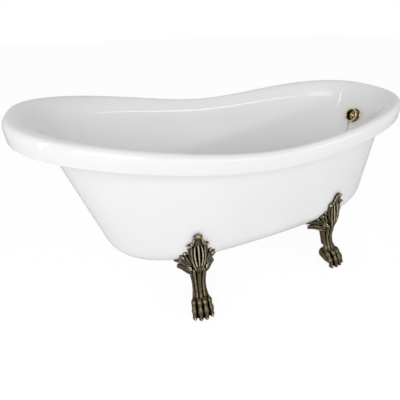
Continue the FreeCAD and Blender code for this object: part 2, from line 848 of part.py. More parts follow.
def capsule(start, end, radius):
    """A round-ended rod, turned from one profile."""
    length = (end - start).Length
    slant = radius * math.sqrt(0.5)
    foot_arc = Part.Arc(Vector(0, 0, -radius), Vector(slant, 0, -slant), Vector(radius, 0, 0))
    head_arc = Part.Arc(Vector(radius, 0, length), Vector(slant, 0, length + slant),
                        Vector(0, 0, length + radius))
    profile = Part.Wire([
        foot_arc.toShape(),
        Part.LineSegment(Vector(radius, 0, 0), Vector(radius, 0, length)).toShape(),
        head_arc.toShape(),
        Part.LineSegment(Vector(0, 0, length + radius), Vector(0, 0, -radius)).toShape(),
    ])
    solid = Part.Face(profile).revolve(Vector(), UP, 360)
    solid.Placement = FreeCAD.Placement(start, FreeCAD.Rotation(UP, end - start))
    return solid


def paw():
    """The paw's rounded block, flat at the floor, and its toes, each with a claw."""
    length = d.paw_toe - d.paw_heel
    rings = []
    for place, width, top in PAW_SHARES:
        half_height = top * d.paw_height * PAW_DEPTH_SHARE
        middle = Vector(0, d.paw_heel + place * length, top * d.paw_height - half_height)
        rings.append(oval(middle, ALONG * d.paw_half_width * width, UP * half_height, PAW_POWER))
    floor = Part.makeBox(4 * d.paw_half_width, 2 * d.paw_toe, d.paw_height,
                         Vector(-2 * d.paw_half_width, 0, -d.paw_height))
    pieces = [Part.makeLoft(rings, True).cut(floor)]
    for share in TOE_PLACE_SHARES:
        knuckle = Vector(share * d.paw_half_width * KNUCKLE_SHARES[0], d.paw_toe * KNUCKLE_SHARES[1],
                         d.paw_height * KNUCKLE_SHARES[2])
        tip = Vector(share * d.paw_half_width, d.paw_toe - d.toe_radius / 2, d.toe_radius + d.pad_lift)
        pieces.append(capsule(knuckle, tip, d.toe_radius))
        pieces.append(Part.makeCone(d.claw_radius, d.claw_radius / 3, d.claw_length,
                                    tip + ACROSS * d.toe_radius / 2, Vector(0, 1, -0.5)))
    return pieces


def leaves(rows, near, rise):
    """Pairs of leaves, one each side of the foot's middle."""
    pieces = []
    for start, end, root_share, tip_share in rows:
        for hand in (-1, 1):
            first = Vector(hand * start[0] * d.leaf_reach, 0, d.leaf_root_height + start[1] * rise)
            last = Vector(hand * end[0] * d.leaf_reach, 0, d.leaf_root_height + end[1] * rise)
            pieces.append(lobe(first, last, root_share * d.leaf_half_width,
                               tip_share * d.leaf_half_width, near, d.leaf_side_depth))
    return pieces


def rail_notch(side):
    """The room that a foot leaves for the rail's end and for the nuts on it."""
    half_width = d.rail_width / 2 + d.seat_gap
    reach = d.rail_length / 2 + d.seat_gap
    return Part.makeBox(2 * half_width, reach, d.leg_top_height - rail_bottom + d.overrun,
                        Vector(rail_place(side) - half_width, -reach, rail_bottom))


def foot(side):
    """A claw foot of one side's front corner, cut to the skin that it stands against."""
    place = foot_place(side)

    def placed(shape):
        moved = shape.copy()
        moved.Placement = place.multiply(moved.Placement)
        return moved

    rise = d.leaf_top_height - d.leaf_root_height
    root = Vector(0, 0, d.leaf_root_height)
    middle = lobe(root, Vector(0, 0, d.leaf_top_height), d.leaf_half_width * MIDDLE_ROOT_SHARE,
                  d.leaf_half_width, -d.leaf_half_width, d.leaf_side_depth)
    side_leaves = (leaves(SIDE_LEAF_SHARES, -d.leaf_side_depth, rise)
                   + leaves(WING_SHARES, -d.wing_depth, rise))
    seat = skin_grown["seat"]
    whole = placed(middle).common(skin_grown["middle"]).cut(seat)
    thin = placed(side_leaves[0].fuse(side_leaves[1:])).common(skin_grown["leaf"]).cut(seat)
    whole = whole.fuse(thin, JOIN_TOLERANCE)
    for limb in leg():
        whole = whole.fuse(placed(limb).cut(seat), JOIN_TOLERANCE)
    toes = paw()
    foot_block = placed(toes[0])
    for toe in toes[1:]:
        foot_block = foot_block.fuse(placed(toe), JOIN_TOLERANCE)
    tongue = Part.makeBox(d.tongue_width, d.tongue_reach, d.tongue_thickness,
                          Vector(-d.tongue_width / 2, -d.tongue_reach, rail_bottom - d.tongue_thickness))
    whole = whole.fuse(foot_block, JOIN_TOLERANCE).fuse(placed(tongue), JOIN_TOLERANCE)
    for step in (-1, 1):
        bolt_hole = Vector(step * d.bolt_spacing / 2, -d.bolt_reach, rail_bottom - d.tongue_thickness)
        whole = whole.cut(placed(Part.makeCylinder(d.bolt_radius + d.thread_clearance,
                                                   d.tongue_thickness, bolt_hole)))
    whole = whole.cut(rail_notch(side))
    sole = Vector(0, d.leveller_place, 0)
    recess = d.pad_lift + d.pad_thickness + d.pad_lift
    whole = whole.cut(placed(Part.makeCylinder(d.pad_radius + d.pad_recess_clearance, recess, sole)))
    depth = d.pad_lift + d.pad_socket_floor + d.leveller_length + d.leveller_head_gap
    return whole.cut(placed(Part.makeCylinder(d.leveller_radius + d.thread_clearance, depth, sole)))


rail_bottom = d.under_clearance - d.rail_thickness
skin_grown = {
    "seat": skin_body(d.foot_seat_clearance),
    "leaf": skin_body(d.foot_seat_clearance + d.leaf_thickness),
    "middle": skin_body(d.foot_seat_clearance + d.leaf_middle_thickness),
}

# Shells, core and board
keep("inner_tub", feature("inner_tub", inner_tub()))
keep("outer_shell", feature("outer_shell", outer_shell()))
keep("rim_core", feature("rim_core", rim_core()))

board_blank = box("board_blank", "bath_length - board_left_setback - board_right_setback",
                  "bath_width - 2 * board_side_setback", "board_thickness",
                  ("board_left_setback - bath_length / 2", "board_side_setback - bath_width / 2",
                   BOARD_BOTTOM))
board_edges = document.addObject("Part::Fillet", "board_edges")
board_edges.Base = board_blank
document.recompute()
board_edges.Edges = [(number, d.board_corner_radius, d.board_corner_radius)
                     for number, edge in enumerate(board_blank.Shape.Edges, start=1)
                     if abs(edge.tangentAt(edge.FirstParameter).z) > 1 / 2]
board_drain = cylinder("board_drain", "drain_access_radius", "board_thickness",
                       (DRAIN_PLACE, "0", BOARD_BOTTOM))
board_pilots = feature("board_pilots", Part.makeCompound([
    Part.makeCylinder(d.rail_screw_radius + d.thread_clearance,
                      d.rail_screw_length - d.rail_thickness - d.skin_thickness + d.thread_clearance,
                      place + UP * board_bottom)
    for place in rail_screw_places()]))
keep("base_board", cut("base_board", board_edges, [board_drain, board_pilots]))

# Rails under the skin, their screws, and the feet on their ends
for side in FOOT_PLACES:
    sign = "-" if side == "left" else ""
    shift = f"bolt_reach * sin({FOOT_SPLAY}) * {1 if side == 'left' else -1}"
    blank = box(f"rail_blank_{side}", "rail_width", "rail_length", "rail_thickness",
                (f"{sign} {FOOT_ENDS[side]} + {shift} - rail_width / 2", "- rail_length / 2",
                 "under_clearance - rail_thickness"))
    holes = [Part.makeCylinder(d.rail_screw_radius + d.thread_clearance, d.rail_thickness,
                               place + UP * rail_bottom)
             for place in rail_screw_places() if place.x * FOOT_PLACES[side] > 0]
    holes += [Part.makeCylinder(d.bolt_radius + d.thread_clearance, d.rail_thickness, point)
              for point in bolt_points(rail_bottom) if point.x * FOOT_PLACES[side] > 0]
    rail_holes = feature(f"rail_holes_{side}", Part.makeCompound(holes))
    keep(f"cross_rail_{side}", cut(f"cross_rail_{side}", blank, [rail_holes]))

screw_head = cylinder("rail_screw_head", "rail_screw_head_radius", "rail_screw_head_height",
                      ("0", "0", "under_clearance - rail_thickness - rail_screw_head_height"))
screw_shank = cylinder("rail_screw_shank", "rail_screw_radius", "rail_screw_length",
                       ("0", "0", "under_clearance - rail_thickness"))
rail_screw = fuse("rail_screw", [screw_head, screw_shank])

TONGUE_BOTTOM = "under_clearance - rail_thickness - tongue_thickness"
bolt_head = hexagon("bolt_head", "bolt_key_width", "bolt_head_height",
                    ("0", "0", f"{TONGUE_BOTTOM} - washer_thickness - bolt_head_height"))
bolt_length = ("washer_thickness + tongue_thickness + rail_thickness + nut_height + bolt_end")
bolt_shank = cylinder("bolt_shank", "bolt_radius", bolt_length,
                      ("0", "0", f"{TONGUE_BOTTOM} - washer_thickness"))
bolt = fuse("bolt", [bolt_head, bolt_shank])
washer_blank = cylinder("washer_blank", "washer_radius", "washer_thickness",
                        ("0", "0", f"{TONGUE_BOTTOM} - washer_thickness"))
washer_hole = cylinder("washer_hole", "bolt_radius + thread_clearance", "washer_thickness",
                       ("0", "0", f"{TONGUE_BOTTOM} - washer_thickness"))
washer = cut("washer", washer_blank, [washer_hole])
nut_blank = hexagon("nut_blank", "bolt_key_width", "nut_height", ("0", "0", "under_clearance"))
nut_hole = cylinder("nut_hole", "bolt_radius + thread_clearance", "nut_height",
                    ("0", "0", "under_clearance"))
nut = cut("nut", nut_blank, [nut_hole])
document.recompute()

bolt_places = [FreeCAD.Placement(point, FreeCAD.Rotation()) for point in bolt_points()]
screw_places = [FreeCAD.Placement(point, FreeCAD.Rotation()) for point in rail_screw_places()]
keep("rail_screws", copies("rail_screws", rail_screw, screw_places))
keep("foot_bolts", copies("foot_bolts", bolt, bolt_places))
keep("foot_washers", copies("foot_washers", washer, bolt_places))
keep("foot_nuts", copies("foot_nuts", nut, bolt_places))

for side in FOOT_PLACES:
    front = foot(side)
    keep(f"foot_front_{side}", feature(f"foot_front_{side}", front))
    keep(f"foot_back_{side}", feature(f"foot_back_{side}", front.mirror(Vector(), ACROSS)))

# Levellers: a threaded stud that turns in the paw and swivels in its pad
pad_blank = cylinder("pad_blank", "pad_radius", "pad_thickness", ("0", "0", "pad_lift"))
pad_socket = cylinder("pad_socket", "leveller_radius + thread_clearance",
                      "pad_thickness - pad_socket_floor", ("0", "0", "pad_lift + pad_socket_floor"))
pad = cut("pad", pad_blank, [pad_socket])
stud = cylinder("stud", "leveller_radius", "leveller_length", ("0", "0", "pad_lift + pad_socket_floor"))
document.recompute()
CORNERS = ("front_left", "front_right", "back_left", "back_right")
for corner, point in zip(CORNERS, leveller_points()):
    place = [FreeCAD.Placement(point, FreeCAD.Rotation())]
    keep(f"leveller_pad_{corner}", feature(f"leveller_pad_{corner}", copies("pad_copy", pad, place).Shape))
    keep(f"leveller_stud_{corner}",
         feature(f"leveller_stud_{corner}", copies("stud_copy", stud, place).Shape))


# Waste: flange and tail from above, gaskets either side of the tub's floor, body from below
DRAIN_SEAT = f"{TUB_FLOOR} - dish_depth"
FLANGE_BOTTOM = f"{DRAIN_SEAT} + flange_gasket_thickness"
FLANGE_TOP = f"{FLANGE_BOTTOM} + flange_thickness"
COLLAR_TOP = f"{TUB_UNDERSIDE} - lower_gasket_thickness"
WASTE_BOTTOM = f"{COLLAR_TOP} - waste_length"
PORT_HEIGHT = f"{COLLAR_TOP} - port_drop"
TRAP_TOP = f"{WASTE_BOTTOM} - trap_washer_thickness"


def at_drain(height):
    return (DRAIN_PLACE, "0", height)


def tube(name, outer, inner, height, base, turn=None):
    """A plain ring or tube between two radii."""
    return cut(name, cylinder(name + "_outside", outer, height, base, turn),
               [cylinder(name + "_bore", inner, height, base, turn)])


keep("flange_gasket", tube("flange_gasket", "flange_radius - gasket_edge", "tail_radius + gasket_edge",
                           "flange_gasket_thickness", at_drain(DRAIN_SEAT)))

waste_disc = cylinder("waste_disc", "flange_radius", "flange_thickness", at_drain(FLANGE_BOTTOM))
waste_tail = cylinder("waste_tail", "tail_radius", "tail_length",
                      at_drain(f"{FLANGE_BOTTOM} - tail_length"))
waste_way = cylinder("waste_way", "tail_bore_radius", "tail_length + flange_thickness",
                     at_drain(f"{FLANGE_BOTTOM} - tail_length"))
waste_seat = primitive("Part::Cone", "waste_seat", at_drain(f"{FLANGE_TOP} - seat_depth"),
                       Radius1="tail_bore_radius", Radius2="seat_top_radius", Height="seat_depth")
waste_rim = cut("waste_rim", fuse("waste_blank", [waste_disc, waste_tail]), [waste_way, waste_seat])
BAR_LENGTH = "tail_radius + tail_bore_radius"
BAR_BOTTOM = f"{FLANGE_TOP} - cross_bar_depth"
bar_along = box("bar_along", BAR_LENGTH, "cross_bar_width", "cross_bar_height",
                (f"{DRAIN_PLACE} - ({BAR_LENGTH}) / 2", "- cross_bar_width / 2", BAR_BOTTOM))
bar_across = box("bar_across", "cross_bar_width", BAR_LENGTH, "cross_bar_height",
                 (f"{DRAIN_PLACE} - cross_bar_width / 2", f"- ({BAR_LENGTH}) / 2", BAR_BOTTOM))
keep("waste_flange", fuse("waste_flange", [waste_rim, bar_along, bar_across]))

keep("lower_gasket", tube("lower_gasket", "flange_radius + gasket_edge", "tail_radius + gasket_edge",
                          "lower_gasket_thickness", at_drain(COLLAR_TOP)))

waste_collar = cylinder("waste_collar", "flange_radius + gasket_edge", "waste_collar_thickness",
                        at_drain(f"{COLLAR_TOP} - waste_collar_thickness"))
waste_barrel = cylinder("waste_barrel", "waste_radius", "waste_length - waste_spigot_length",
                        at_drain(f"{WASTE_BOTTOM} + waste_spigot_length"))
waste_spigot = cylinder("waste_spigot", "waste_spigot_radius", "waste_length", at_drain(WASTE_BOTTOM))
waste_port = cylinder("waste_port", "port_radius", "port_length", at_drain(PORT_HEIGHT), TO_ALONG)
waste_bore = cylinder("waste_bore", "tail_radius + thread_clearance", "waste_length",
                      at_drain(WASTE_BOTTOM))
port_bore = cylinder("port_bore", "pipe_radius + thread_clearance", "port_length",
                     at_drain(PORT_HEIGHT), TO_ALONG)
waste_blanks = fuse("waste_blanks", [waste_collar, waste_barrel, waste_spigot, waste_port])
keep("waste_body", cut("waste_body", waste_blanks, [waste_bore, port_bore]))

PORT_NUT_START = f"{DRAIN_PLACE} + port_length + port_nut_lip - port_nut_length"
port_nut_blank = hexagon("port_nut_blank", "port_nut_key_width", "port_nut_length",
                         (PORT_NUT_START, "0", PORT_HEIGHT), TO_ALONG)
port_nut_thread = cylinder("port_nut_thread", "port_radius + thread_clearance",
                           "port_nut_length - port_nut_lip", (PORT_NUT_START, "0", PORT_HEIGHT), TO_ALONG)
port_nut_way = cylinder("port_nut_way", "pipe_radius + thread_clearance", "port_nut_length",
                        (PORT_NUT_START, "0", PORT_HEIGHT), TO_ALONG)
keep("port_nut", cut("port_nut", port_nut_blank, [port_nut_thread, port_nut_way]))

# Trap, its union and its outlet
keep("trap_washer", tube("trap_washer", "trap_flange_radius", "trap_radius - trap_wall",
                         "trap_washer_thickness", at_drain(TRAP_TOP)))
TRAP_NUT_BOTTOM = f"{TRAP_TOP} - trap_flange_thickness - trap_nut_lip"
trap_nut_blank = hexagon("trap_nut_blank", "trap_nut_key_width", "trap_nut_length",
                         at_drain(TRAP_NUT_BOTTOM))
trap_nut_thread = cylinder("trap_nut_thread", "waste_spigot_radius + thread_clearance",
                           "trap_nut_length - trap_nut_lip",
                           at_drain(f"{TRAP_NUT_BOTTOM} + trap_nut_lip"))
trap_nut_way = cylinder("trap_nut_way", "trap_radius + thread_clearance", "trap_nut_length",
                        at_drain(TRAP_NUT_BOTTOM))
keep("trap_nut", cut("trap_nut", trap_nut_blank, [trap_nut_thread, trap_nut_way]))
keep("trap_body", feature("trap_body", trap_body()))

OUTLET_HEIGHT = f"{TRAP_TOP} - trap_inlet_length + trap_bend_radius + trap_riser_length"
outlet_base = (DRAIN_PLACE, "trap_outlet_reach - outlet_nut_length", OUTLET_HEIGHT)
outlet_blank = hexagon("outlet_blank", "outlet_nut_key_width", "outlet_nut_length", outlet_base, TO_ACROSS)
outlet_thread = cylinder("outlet_thread", "trap_socket_radius + thread_clearance", "outlet_nut_length",
                         outlet_base, TO_ACROSS)
keep("outlet_nut", cut("outlet_nut", outlet_blank, [outlet_thread]))

# Overflow: its own frame has Z out of the wall into the tub and X up the wall
OVERFLOW = FreeCAD.Placement(wall_point, FreeCAD.Rotation(wall_up, ACROSS, wall_normal, "XYZ"))


def on_wall(name, radius, start, length, place=("0", "0")):
    """A round piece on the overflow's axis, or beside it, from a height over the wall."""
    return cylinder(name, radius, length, (*place, start))


GRID_TOP = "overflow_grid_height + overflow_grid_thickness"
face_base = on_wall("face_base", "overflow_base_radius", "- overflow_base_skirt",
                    "overflow_base_thickness + overflow_base_skirt")
face_neck = on_wall("face_neck", "overflow_neck_radius", "0", "overflow_length")
face_lip = on_wall("face_lip", "overflow_lip_radius", "overflow_length - overflow_lip_length",
                   "overflow_lip_length")
face_back = on_wall("face_back", "overflow_hole_radius", "- overflow_base_skirt",
                    "overflow_grid_height + overflow_base_skirt")
face_mouth = on_wall("face_mouth", "overflow_mouth_radius", GRID_TOP, "overflow_length")
face_way = on_wall("face_way", "overflow_screw_radius + thread_clearance", "0", "overflow_length")
face_holes = [
    on_wall(f"face_hole_{number}", "overflow_grid_hole_radius", "0", "overflow_length",
            (f"overflow_grid_hole_place * cos({number * 360 / GRID_HOLES})",
             f"overflow_grid_hole_place * sin({number * 360 / GRID_HOLES})"))
    for number in range(GRID_HOLES)
]
stay = feature("stay", Part.makeTorus(d.stay_radius, d.stay_wire_radius,
                                      Vector(-d.stay_drop, 0, d.stay_place), ACROSS))
face_whole = cut("face_whole", fuse("face_blanks", [face_base, face_neck, face_lip, stay]),
                 [face_back, face_mouth, face_way] + face_holes)
# The back of the face is rounded to the wall: a circle through the ring points beside its middle
end_turn = 2 * math.pi / RING_POINTS
end_share = 2 / skin_power(d.overflow_height)
end_across = tub_half_width(d.overflow_height) * math.sin(end_turn) ** end_share
end_inwards = tub_right(d.overflow_height) * (1 - math.cos(end_turn) ** end_share)
wall_round = end_across ** 2 / (2 * end_inwards)
face_limit = feature("face_limit", Part.makeCylinder(
    wall_round, 4 * d.overflow_base_radius,
    Vector(-2 * d.overflow_base_radius, 0, wall_round + d.seat_gap), ALONG))
overflow_face = keep("overflow_face", document.addObject("Part::Common", "overflow_face"))
overflow_face.Base = face_whole
overflow_face.Tool = face_limit
overflow_face.Placement = OVERFLOW

overflow_head = on_wall("overflow_head", "overflow_screw_head_radius", GRID_TOP,
                        "overflow_screw_head_height")
overflow_shank = on_wall("overflow_shank", "overflow_screw_radius",
                         f"{GRID_TOP} - overflow_screw_length", "overflow_screw_length")
overflow_screw = keep("overflow_screw", fuse("overflow_screw", [overflow_head, overflow_shank]))
overflow_screw.Placement = OVERFLOW
overflow_seal = keep("overflow_seal", tube(
    "overflow_seal", "elbow_radius", "overflow_hole_radius", "overflow_seal_thickness",
    ("0", "0", "- sheet_thickness - seat_gap - overflow_seal_thickness")))
overflow_seal.Placement = OVERFLOW
keep("overflow_elbow", feature("overflow_elbow", overflow_elbow()))
keep("overflow_pipe", feature("overflow_pipe", overflow_pipe()))

# Plug: a rubber cone with a metal stem whose loop takes the chain
plug_cone = primitive("Part::Cone", "plug_cone", at_drain(f"{FLANGE_TOP} - seat_depth"),
                      Radius1="tail_bore_radius - plug_clearance",
                      Radius2="seat_top_radius - plug_clearance", Height="seat_depth + seat_gap")
plug_head = cylinder("plug_head", "plug_head_radius", "plug_head_thickness",
                     at_drain(f"{FLANGE_TOP} + seat_gap"))
PLUG_TOP = f"{FLANGE_TOP} + seat_gap + plug_head_thickness"
plug_hole = cylinder("plug_hole", "stem_radius + thread_clearance", "stem_depth",
                     at_drain(f"{PLUG_TOP} - stem_depth"))
keep("drain_plug", cut("drain_plug", fuse("plug_blank", [plug_cone, plug_head]), [plug_hole]))
plug_stem = cylinder("plug_stem", "stem_radius", "stem_depth", at_drain(f"{PLUG_TOP} - stem_depth"))
plug_disc = cylinder("plug_disc", "stem_disc_radius", "stem_disc_thickness", at_drain(PLUG_TOP))
LOOP_HEIGHT = f"{PLUG_TOP} + stem_disc_thickness + loop_radius"
plug_loop = primitive("Part::Torus", "plug_loop", at_drain(LOOP_HEIGHT), FreeCAD.Rotation(ALONG, -90),
                      Radius1="loop_radius", Radius2="loop_wire_radius")
keep("plug_stem", fuse("plug_eyelet", [plug_stem, plug_disc, plug_loop]))

# Clip and chain: the clip hangs in the stay, the chain down the wall and over the floor to the plug
stay_point = OVERFLOW.multVec(Vector(-d.stay_drop, 0, d.stay_place))
clip_top = stay_point - UP * (d.stay_radius - d.stay_wire_radius - d.clip_wire_radius - d.seat_gap)
clip_run = d.clip_height - 2 * d.clip_wire_radius
clip_half = d.clip_width / 2 - d.clip_wire_radius


def chain_clip():
    """A long wire link with round ends."""
    top = clip_top - UP * clip_half
    bottom = clip_top - UP * (clip_run - clip_half)
    path = Part.Wire([
        Part.Arc(top - ACROSS * clip_half, clip_top, top + ACROSS * clip_half).toShape(),
        Part.LineSegment(top + ACROSS * clip_half, bottom + ACROSS * clip_half).toShape(),
        Part.Arc(bottom + ACROSS * clip_half, bottom - UP * clip_half,
                 bottom - ACROSS * clip_half).toShape(),
        Part.LineSegment(bottom - ACROSS * clip_half, top - ACROSS * clip_half).toShape(),
    ])
    section = Part.Wire(Part.makeCircle(d.clip_wire_radius, top - ACROSS * clip_half, UP))
    return path.makePipeShell([section], True, False)


bead_stand = d.bead_radius + d.chain_gap
flange_top = tub_floor - d.dish_depth + d.flange_gasket_thickness + d.flange_thickness
loop_height = (flange_top + d.seat_gap + d.plug_head_thickness + d.stem_disc_thickness
               + d.loop_radius)
chain_start = clip_top - UP * (clip_run + d.clip_wire_radius + d.seat_gap + d.bead_radius)
chain_end = Vector(drain_place + d.loop_radius + d.loop_wire_radius + d.seat_gap + d.bead_radius,
                   0, loop_height)


def wall_line(height):
    return tub_right(height) - bead_stand * math.hypot(1, wall_slope)


def chain_points():
    """Straight down to the wall, along it, round the floor's corner and up to the plug's loop."""
    landing = tub_floor + (chain_start.x - wall_line(tub_floor)) / wall_slope
    foot = tub_floor + d.tub_corner_radius
    points = [chain_start, Vector(chain_start.x, 0, landing + d.chain_ease)]
    points += [Vector(wall_line(height), 0, height)
               for height in (landing - d.chain_ease, mix(landing, foot, 1 / 2), foot)]
    for step in range(1, CORNER_STEPS + 1):
        angle = math.pi / 2 * (1 - step / CORNER_STEPS)
        round_off = d.tub_corner_radius * (1 - math.sin(angle))
        height = tub_floor + bead_stand + (d.tub_corner_radius - bead_stand) * (1 - math.cos(angle))
        points.append(Vector(wall_line(height) - round_off, 0, height))
    over_flange = flange_top + bead_stand
    points.append(Vector(drain_place + d.flange_radius + bead_stand, 0, over_flange))
    points.append(Vector(mix(chain_end.x, points[-1].x, 1 / 2), 0, mix(chain_end.z, over_flange, 1 / 2)))
    return points + [chain_end]


def plug_chain():
    """Round beads on short pins."""
    curve = Part.BSplineCurve()
    curve.interpolate(Points=chain_points())
    beads = round(curve.length() / d.bead_pitch)
    places = curve.discretize(Number=beads)
    pieces = [Part.makeSphere(d.bead_radius, place) for place in places]
    for first, second in zip(places, places[1:]):
        pieces.append(Part.makeCylinder(d.bead_pin_radius, (second - first).Length, first, second - first))
    return pieces[0].fuse(pieces[1:])


keep("chain_clip", feature("chain_clip", chain_clip()))
keep("plug_chain", feature("plug_chain", plug_chain()))

document.recompute()
failed = [piece.Name for piece in document.Objects if {"Invalid", "Error"} & set(piece.State)]
failed += [label for label, piece in nodes.items() if piece.Shape.isNull() or not piece.Shape.isValid()]
if failed:
    raise RuntimeError("These pieces failed: " + ", ".join(failed))

os.makedirs("parts", exist_ok=True)
for label, piece in nodes.items():
    piece.Shape.exportStep(f"parts/{label}.step")
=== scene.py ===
"""Looks of a freestanding slipper bath on claw feet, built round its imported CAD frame.

Metres, in the frame's own axes: +X runs to the drain end, -Y is the front, +Z is up from the floor.
"""

import json
import logging
import math
from dataclasses import dataclass
from enum import Enum
from typing import Callable, Sequence

import bmesh
import bpy
import numpy as np
from mathutils import Matrix, Vector


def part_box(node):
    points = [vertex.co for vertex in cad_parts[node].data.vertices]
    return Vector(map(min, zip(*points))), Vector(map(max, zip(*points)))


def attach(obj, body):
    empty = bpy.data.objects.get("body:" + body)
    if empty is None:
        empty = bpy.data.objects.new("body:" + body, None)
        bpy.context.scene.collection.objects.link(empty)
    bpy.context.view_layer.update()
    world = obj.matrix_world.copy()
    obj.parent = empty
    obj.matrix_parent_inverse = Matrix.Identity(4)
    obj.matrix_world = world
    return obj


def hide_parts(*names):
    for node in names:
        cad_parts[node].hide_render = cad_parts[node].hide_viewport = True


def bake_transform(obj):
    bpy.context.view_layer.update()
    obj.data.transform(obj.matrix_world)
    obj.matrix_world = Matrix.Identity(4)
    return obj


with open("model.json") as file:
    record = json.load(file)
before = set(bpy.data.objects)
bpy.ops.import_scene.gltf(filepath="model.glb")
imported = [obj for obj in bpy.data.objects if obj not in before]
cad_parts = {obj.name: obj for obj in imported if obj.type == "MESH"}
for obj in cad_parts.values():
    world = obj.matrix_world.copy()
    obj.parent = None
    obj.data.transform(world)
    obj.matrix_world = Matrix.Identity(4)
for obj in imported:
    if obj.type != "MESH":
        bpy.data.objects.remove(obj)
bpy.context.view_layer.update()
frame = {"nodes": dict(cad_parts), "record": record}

logging.basicConfig(level=logging.INFO, format="%(message)s")
log = logging.getLogger("bath")

MM = 0.001
UP = Vector((0.0, 0.0, 1.0))
ALONG = Vector((1.0, 0.0, 0.0))
ACROSS = Vector((0.0, 1.0, 0.0))

# Points closer than this are one
WELD = 1e-6

# The wave texture runs through this many radians in one of its units
WAVE_RADIANS = 20


class Slot(Enum):
    """The record's material slots."""

    ACRYLIC = "white_acrylic"
    CASTING = "antique_bronze"
    TRIM = "bronze_trim"
    PLUG = "plug_rubber"
    SEAL = "seal_rubber"
    PIPE = "plumbing_plastic"
    PAD = "pad_plastic"
    STEEL = "zinc_steel"
    BOARD = "wood_board"


class Side(Enum):
    """The two ends of the bath that have feet."""

    LEFT = "left"
    RIGHT = "right"


def linear(code: str) -> tuple[float, float, float, float]:
    """Turns an sRGB hex code into a linear colour.

    Args:
        code: Six hex digits after a hash.

    Returns:
        Red, green, blue and an alpha of one.
    """
    parts = [int(code[start:start + 2], 16) / 255 for start in (1, 3, 5)]
    red, green, blue = [part / 12.92 if part <= 0.04045 else ((part + 0.055) / 1.055) ** 2.4
                        for part in parts]
    return red, green, blue, 1.0


def mix(start: float, end: float, share: float) -> float:
    """A value a share of the way between two."""
    return start + (end - start) * share


# What can feed an input: an output socket, or a node whose first output is meant
Source = bpy.types.Node | bpy.types.NodeSocket


def add_node(tree: bpy.types.NodeTree, kind: str, settings: dict | None = None,
             values: dict | None = None, links: dict[str | int, Source] | None = None,
             stops: Sequence[tuple[float, str]] = ()) -> bpy.types.Node:
    """Adds one shader node with its settings, socket values and incoming links.

    Args:
        tree: The node tree that gets the node.
        kind: The node's type.
        settings: Attributes of the node itself.
        values: Values for input sockets, by name or number.
        links: What feeds each input, by name or number.
        stops: Places and hex codes, where the node is a colour ramp.

    Returns:
        The new node.
    """
    node = tree.nodes.new(kind)
    for name, value in (settings or {}).items():
        setattr(node, name, value)
    for name, value in (values or {}).items():
        node.inputs[name].default_value = value
    for name, source in (links or {}).items():
        output = source.outputs[0] if isinstance(source, bpy.types.Node) else source
        tree.links.new(output, node.inputs[name])
    if stops:
        elements = node.color_ramp.elements
        while len(elements) < len(stops):
            elements.new(stops[1][0])
        for element, (place, code) in zip(elements, stops):
            element.position = place
            element.color = linear(code)
    return node


def bare_material(name: str) -> bpy.types.Material:
    """Makes a material whose node tree is empty.

    Args:
        name: The material's name.

    Returns:
        The material.
    """
    made = bpy.data.materials.new(name)
    made.use_nodes = True
    made.node_tree.nodes.clear()
    return made


@dataclass(frozen=True)
class Finish:
    """A plain finish: one colour that drifts a little, and a fine surface grain."""

    name: str
    roughness: tuple[float, float]
    patch_mm: float
    grain_mm: float
    grain_depth_mm: float
    colours: tuple[tuple[float, str], ...] = ()
    metallic: float = 0.0
    ior: float = 1.5
    patch_octaves: float = 2.0
    grain_octaves: float = 3.0
    grain_strength: float = 0.6

    def colour(self, tree: bpy.types.NodeTree, patches: bpy.types.Node) -> Source:
        """Lays the colour's nodes.

        Args:
            tree: The material's node tree.
            patches: Soft noise with patches of the finish's size.

        Returns:
            What feeds the shader's colour.
        """
        return add_node(tree, "ShaderNodeValToRGB", links={"Fac": patches}, stops=self.colours)

    def material(self) -> bpy.types.Material:
        """Makes the material.

        Returns:
            The finished material.
        """
        made = bare_material(self.name)
        tree = made.node_tree
        place = add_node(tree, "ShaderNodeTexCoord").outputs["Object"]
        patches, grain = [
            add_node(tree, "ShaderNodeTexNoise", values={"Scale": 1 / (size * MM), "Detail": octaves},
                     links={"Vector": place})
            for size, octaves in ((self.patch_mm, self.patch_octaves), (self.grain_mm, self.grain_octaves))]
        low, high = self.roughness
        rough = add_node(tree, "ShaderNodeMapRange", values={"To Min": low, "To Max": high},
                         links={"Value": patches})
        normal = add_node(tree, "ShaderNodeBump",
                          values={"Distance": self.grain_depth_mm * MM, "Strength": self.grain_strength},
                          links={"Height": grain})
        shader = add_node(tree, "ShaderNodeBsdfPrincipled",
                          values={"Metallic": self.metallic, "IOR": self.ior},
                          links={"Base Color": self.colour(tree, patches), "Roughness": rough,
                                 "Normal": normal})
        add_node(tree, "ShaderNodeOutputMaterial", links={"Surface": shader})
        return made


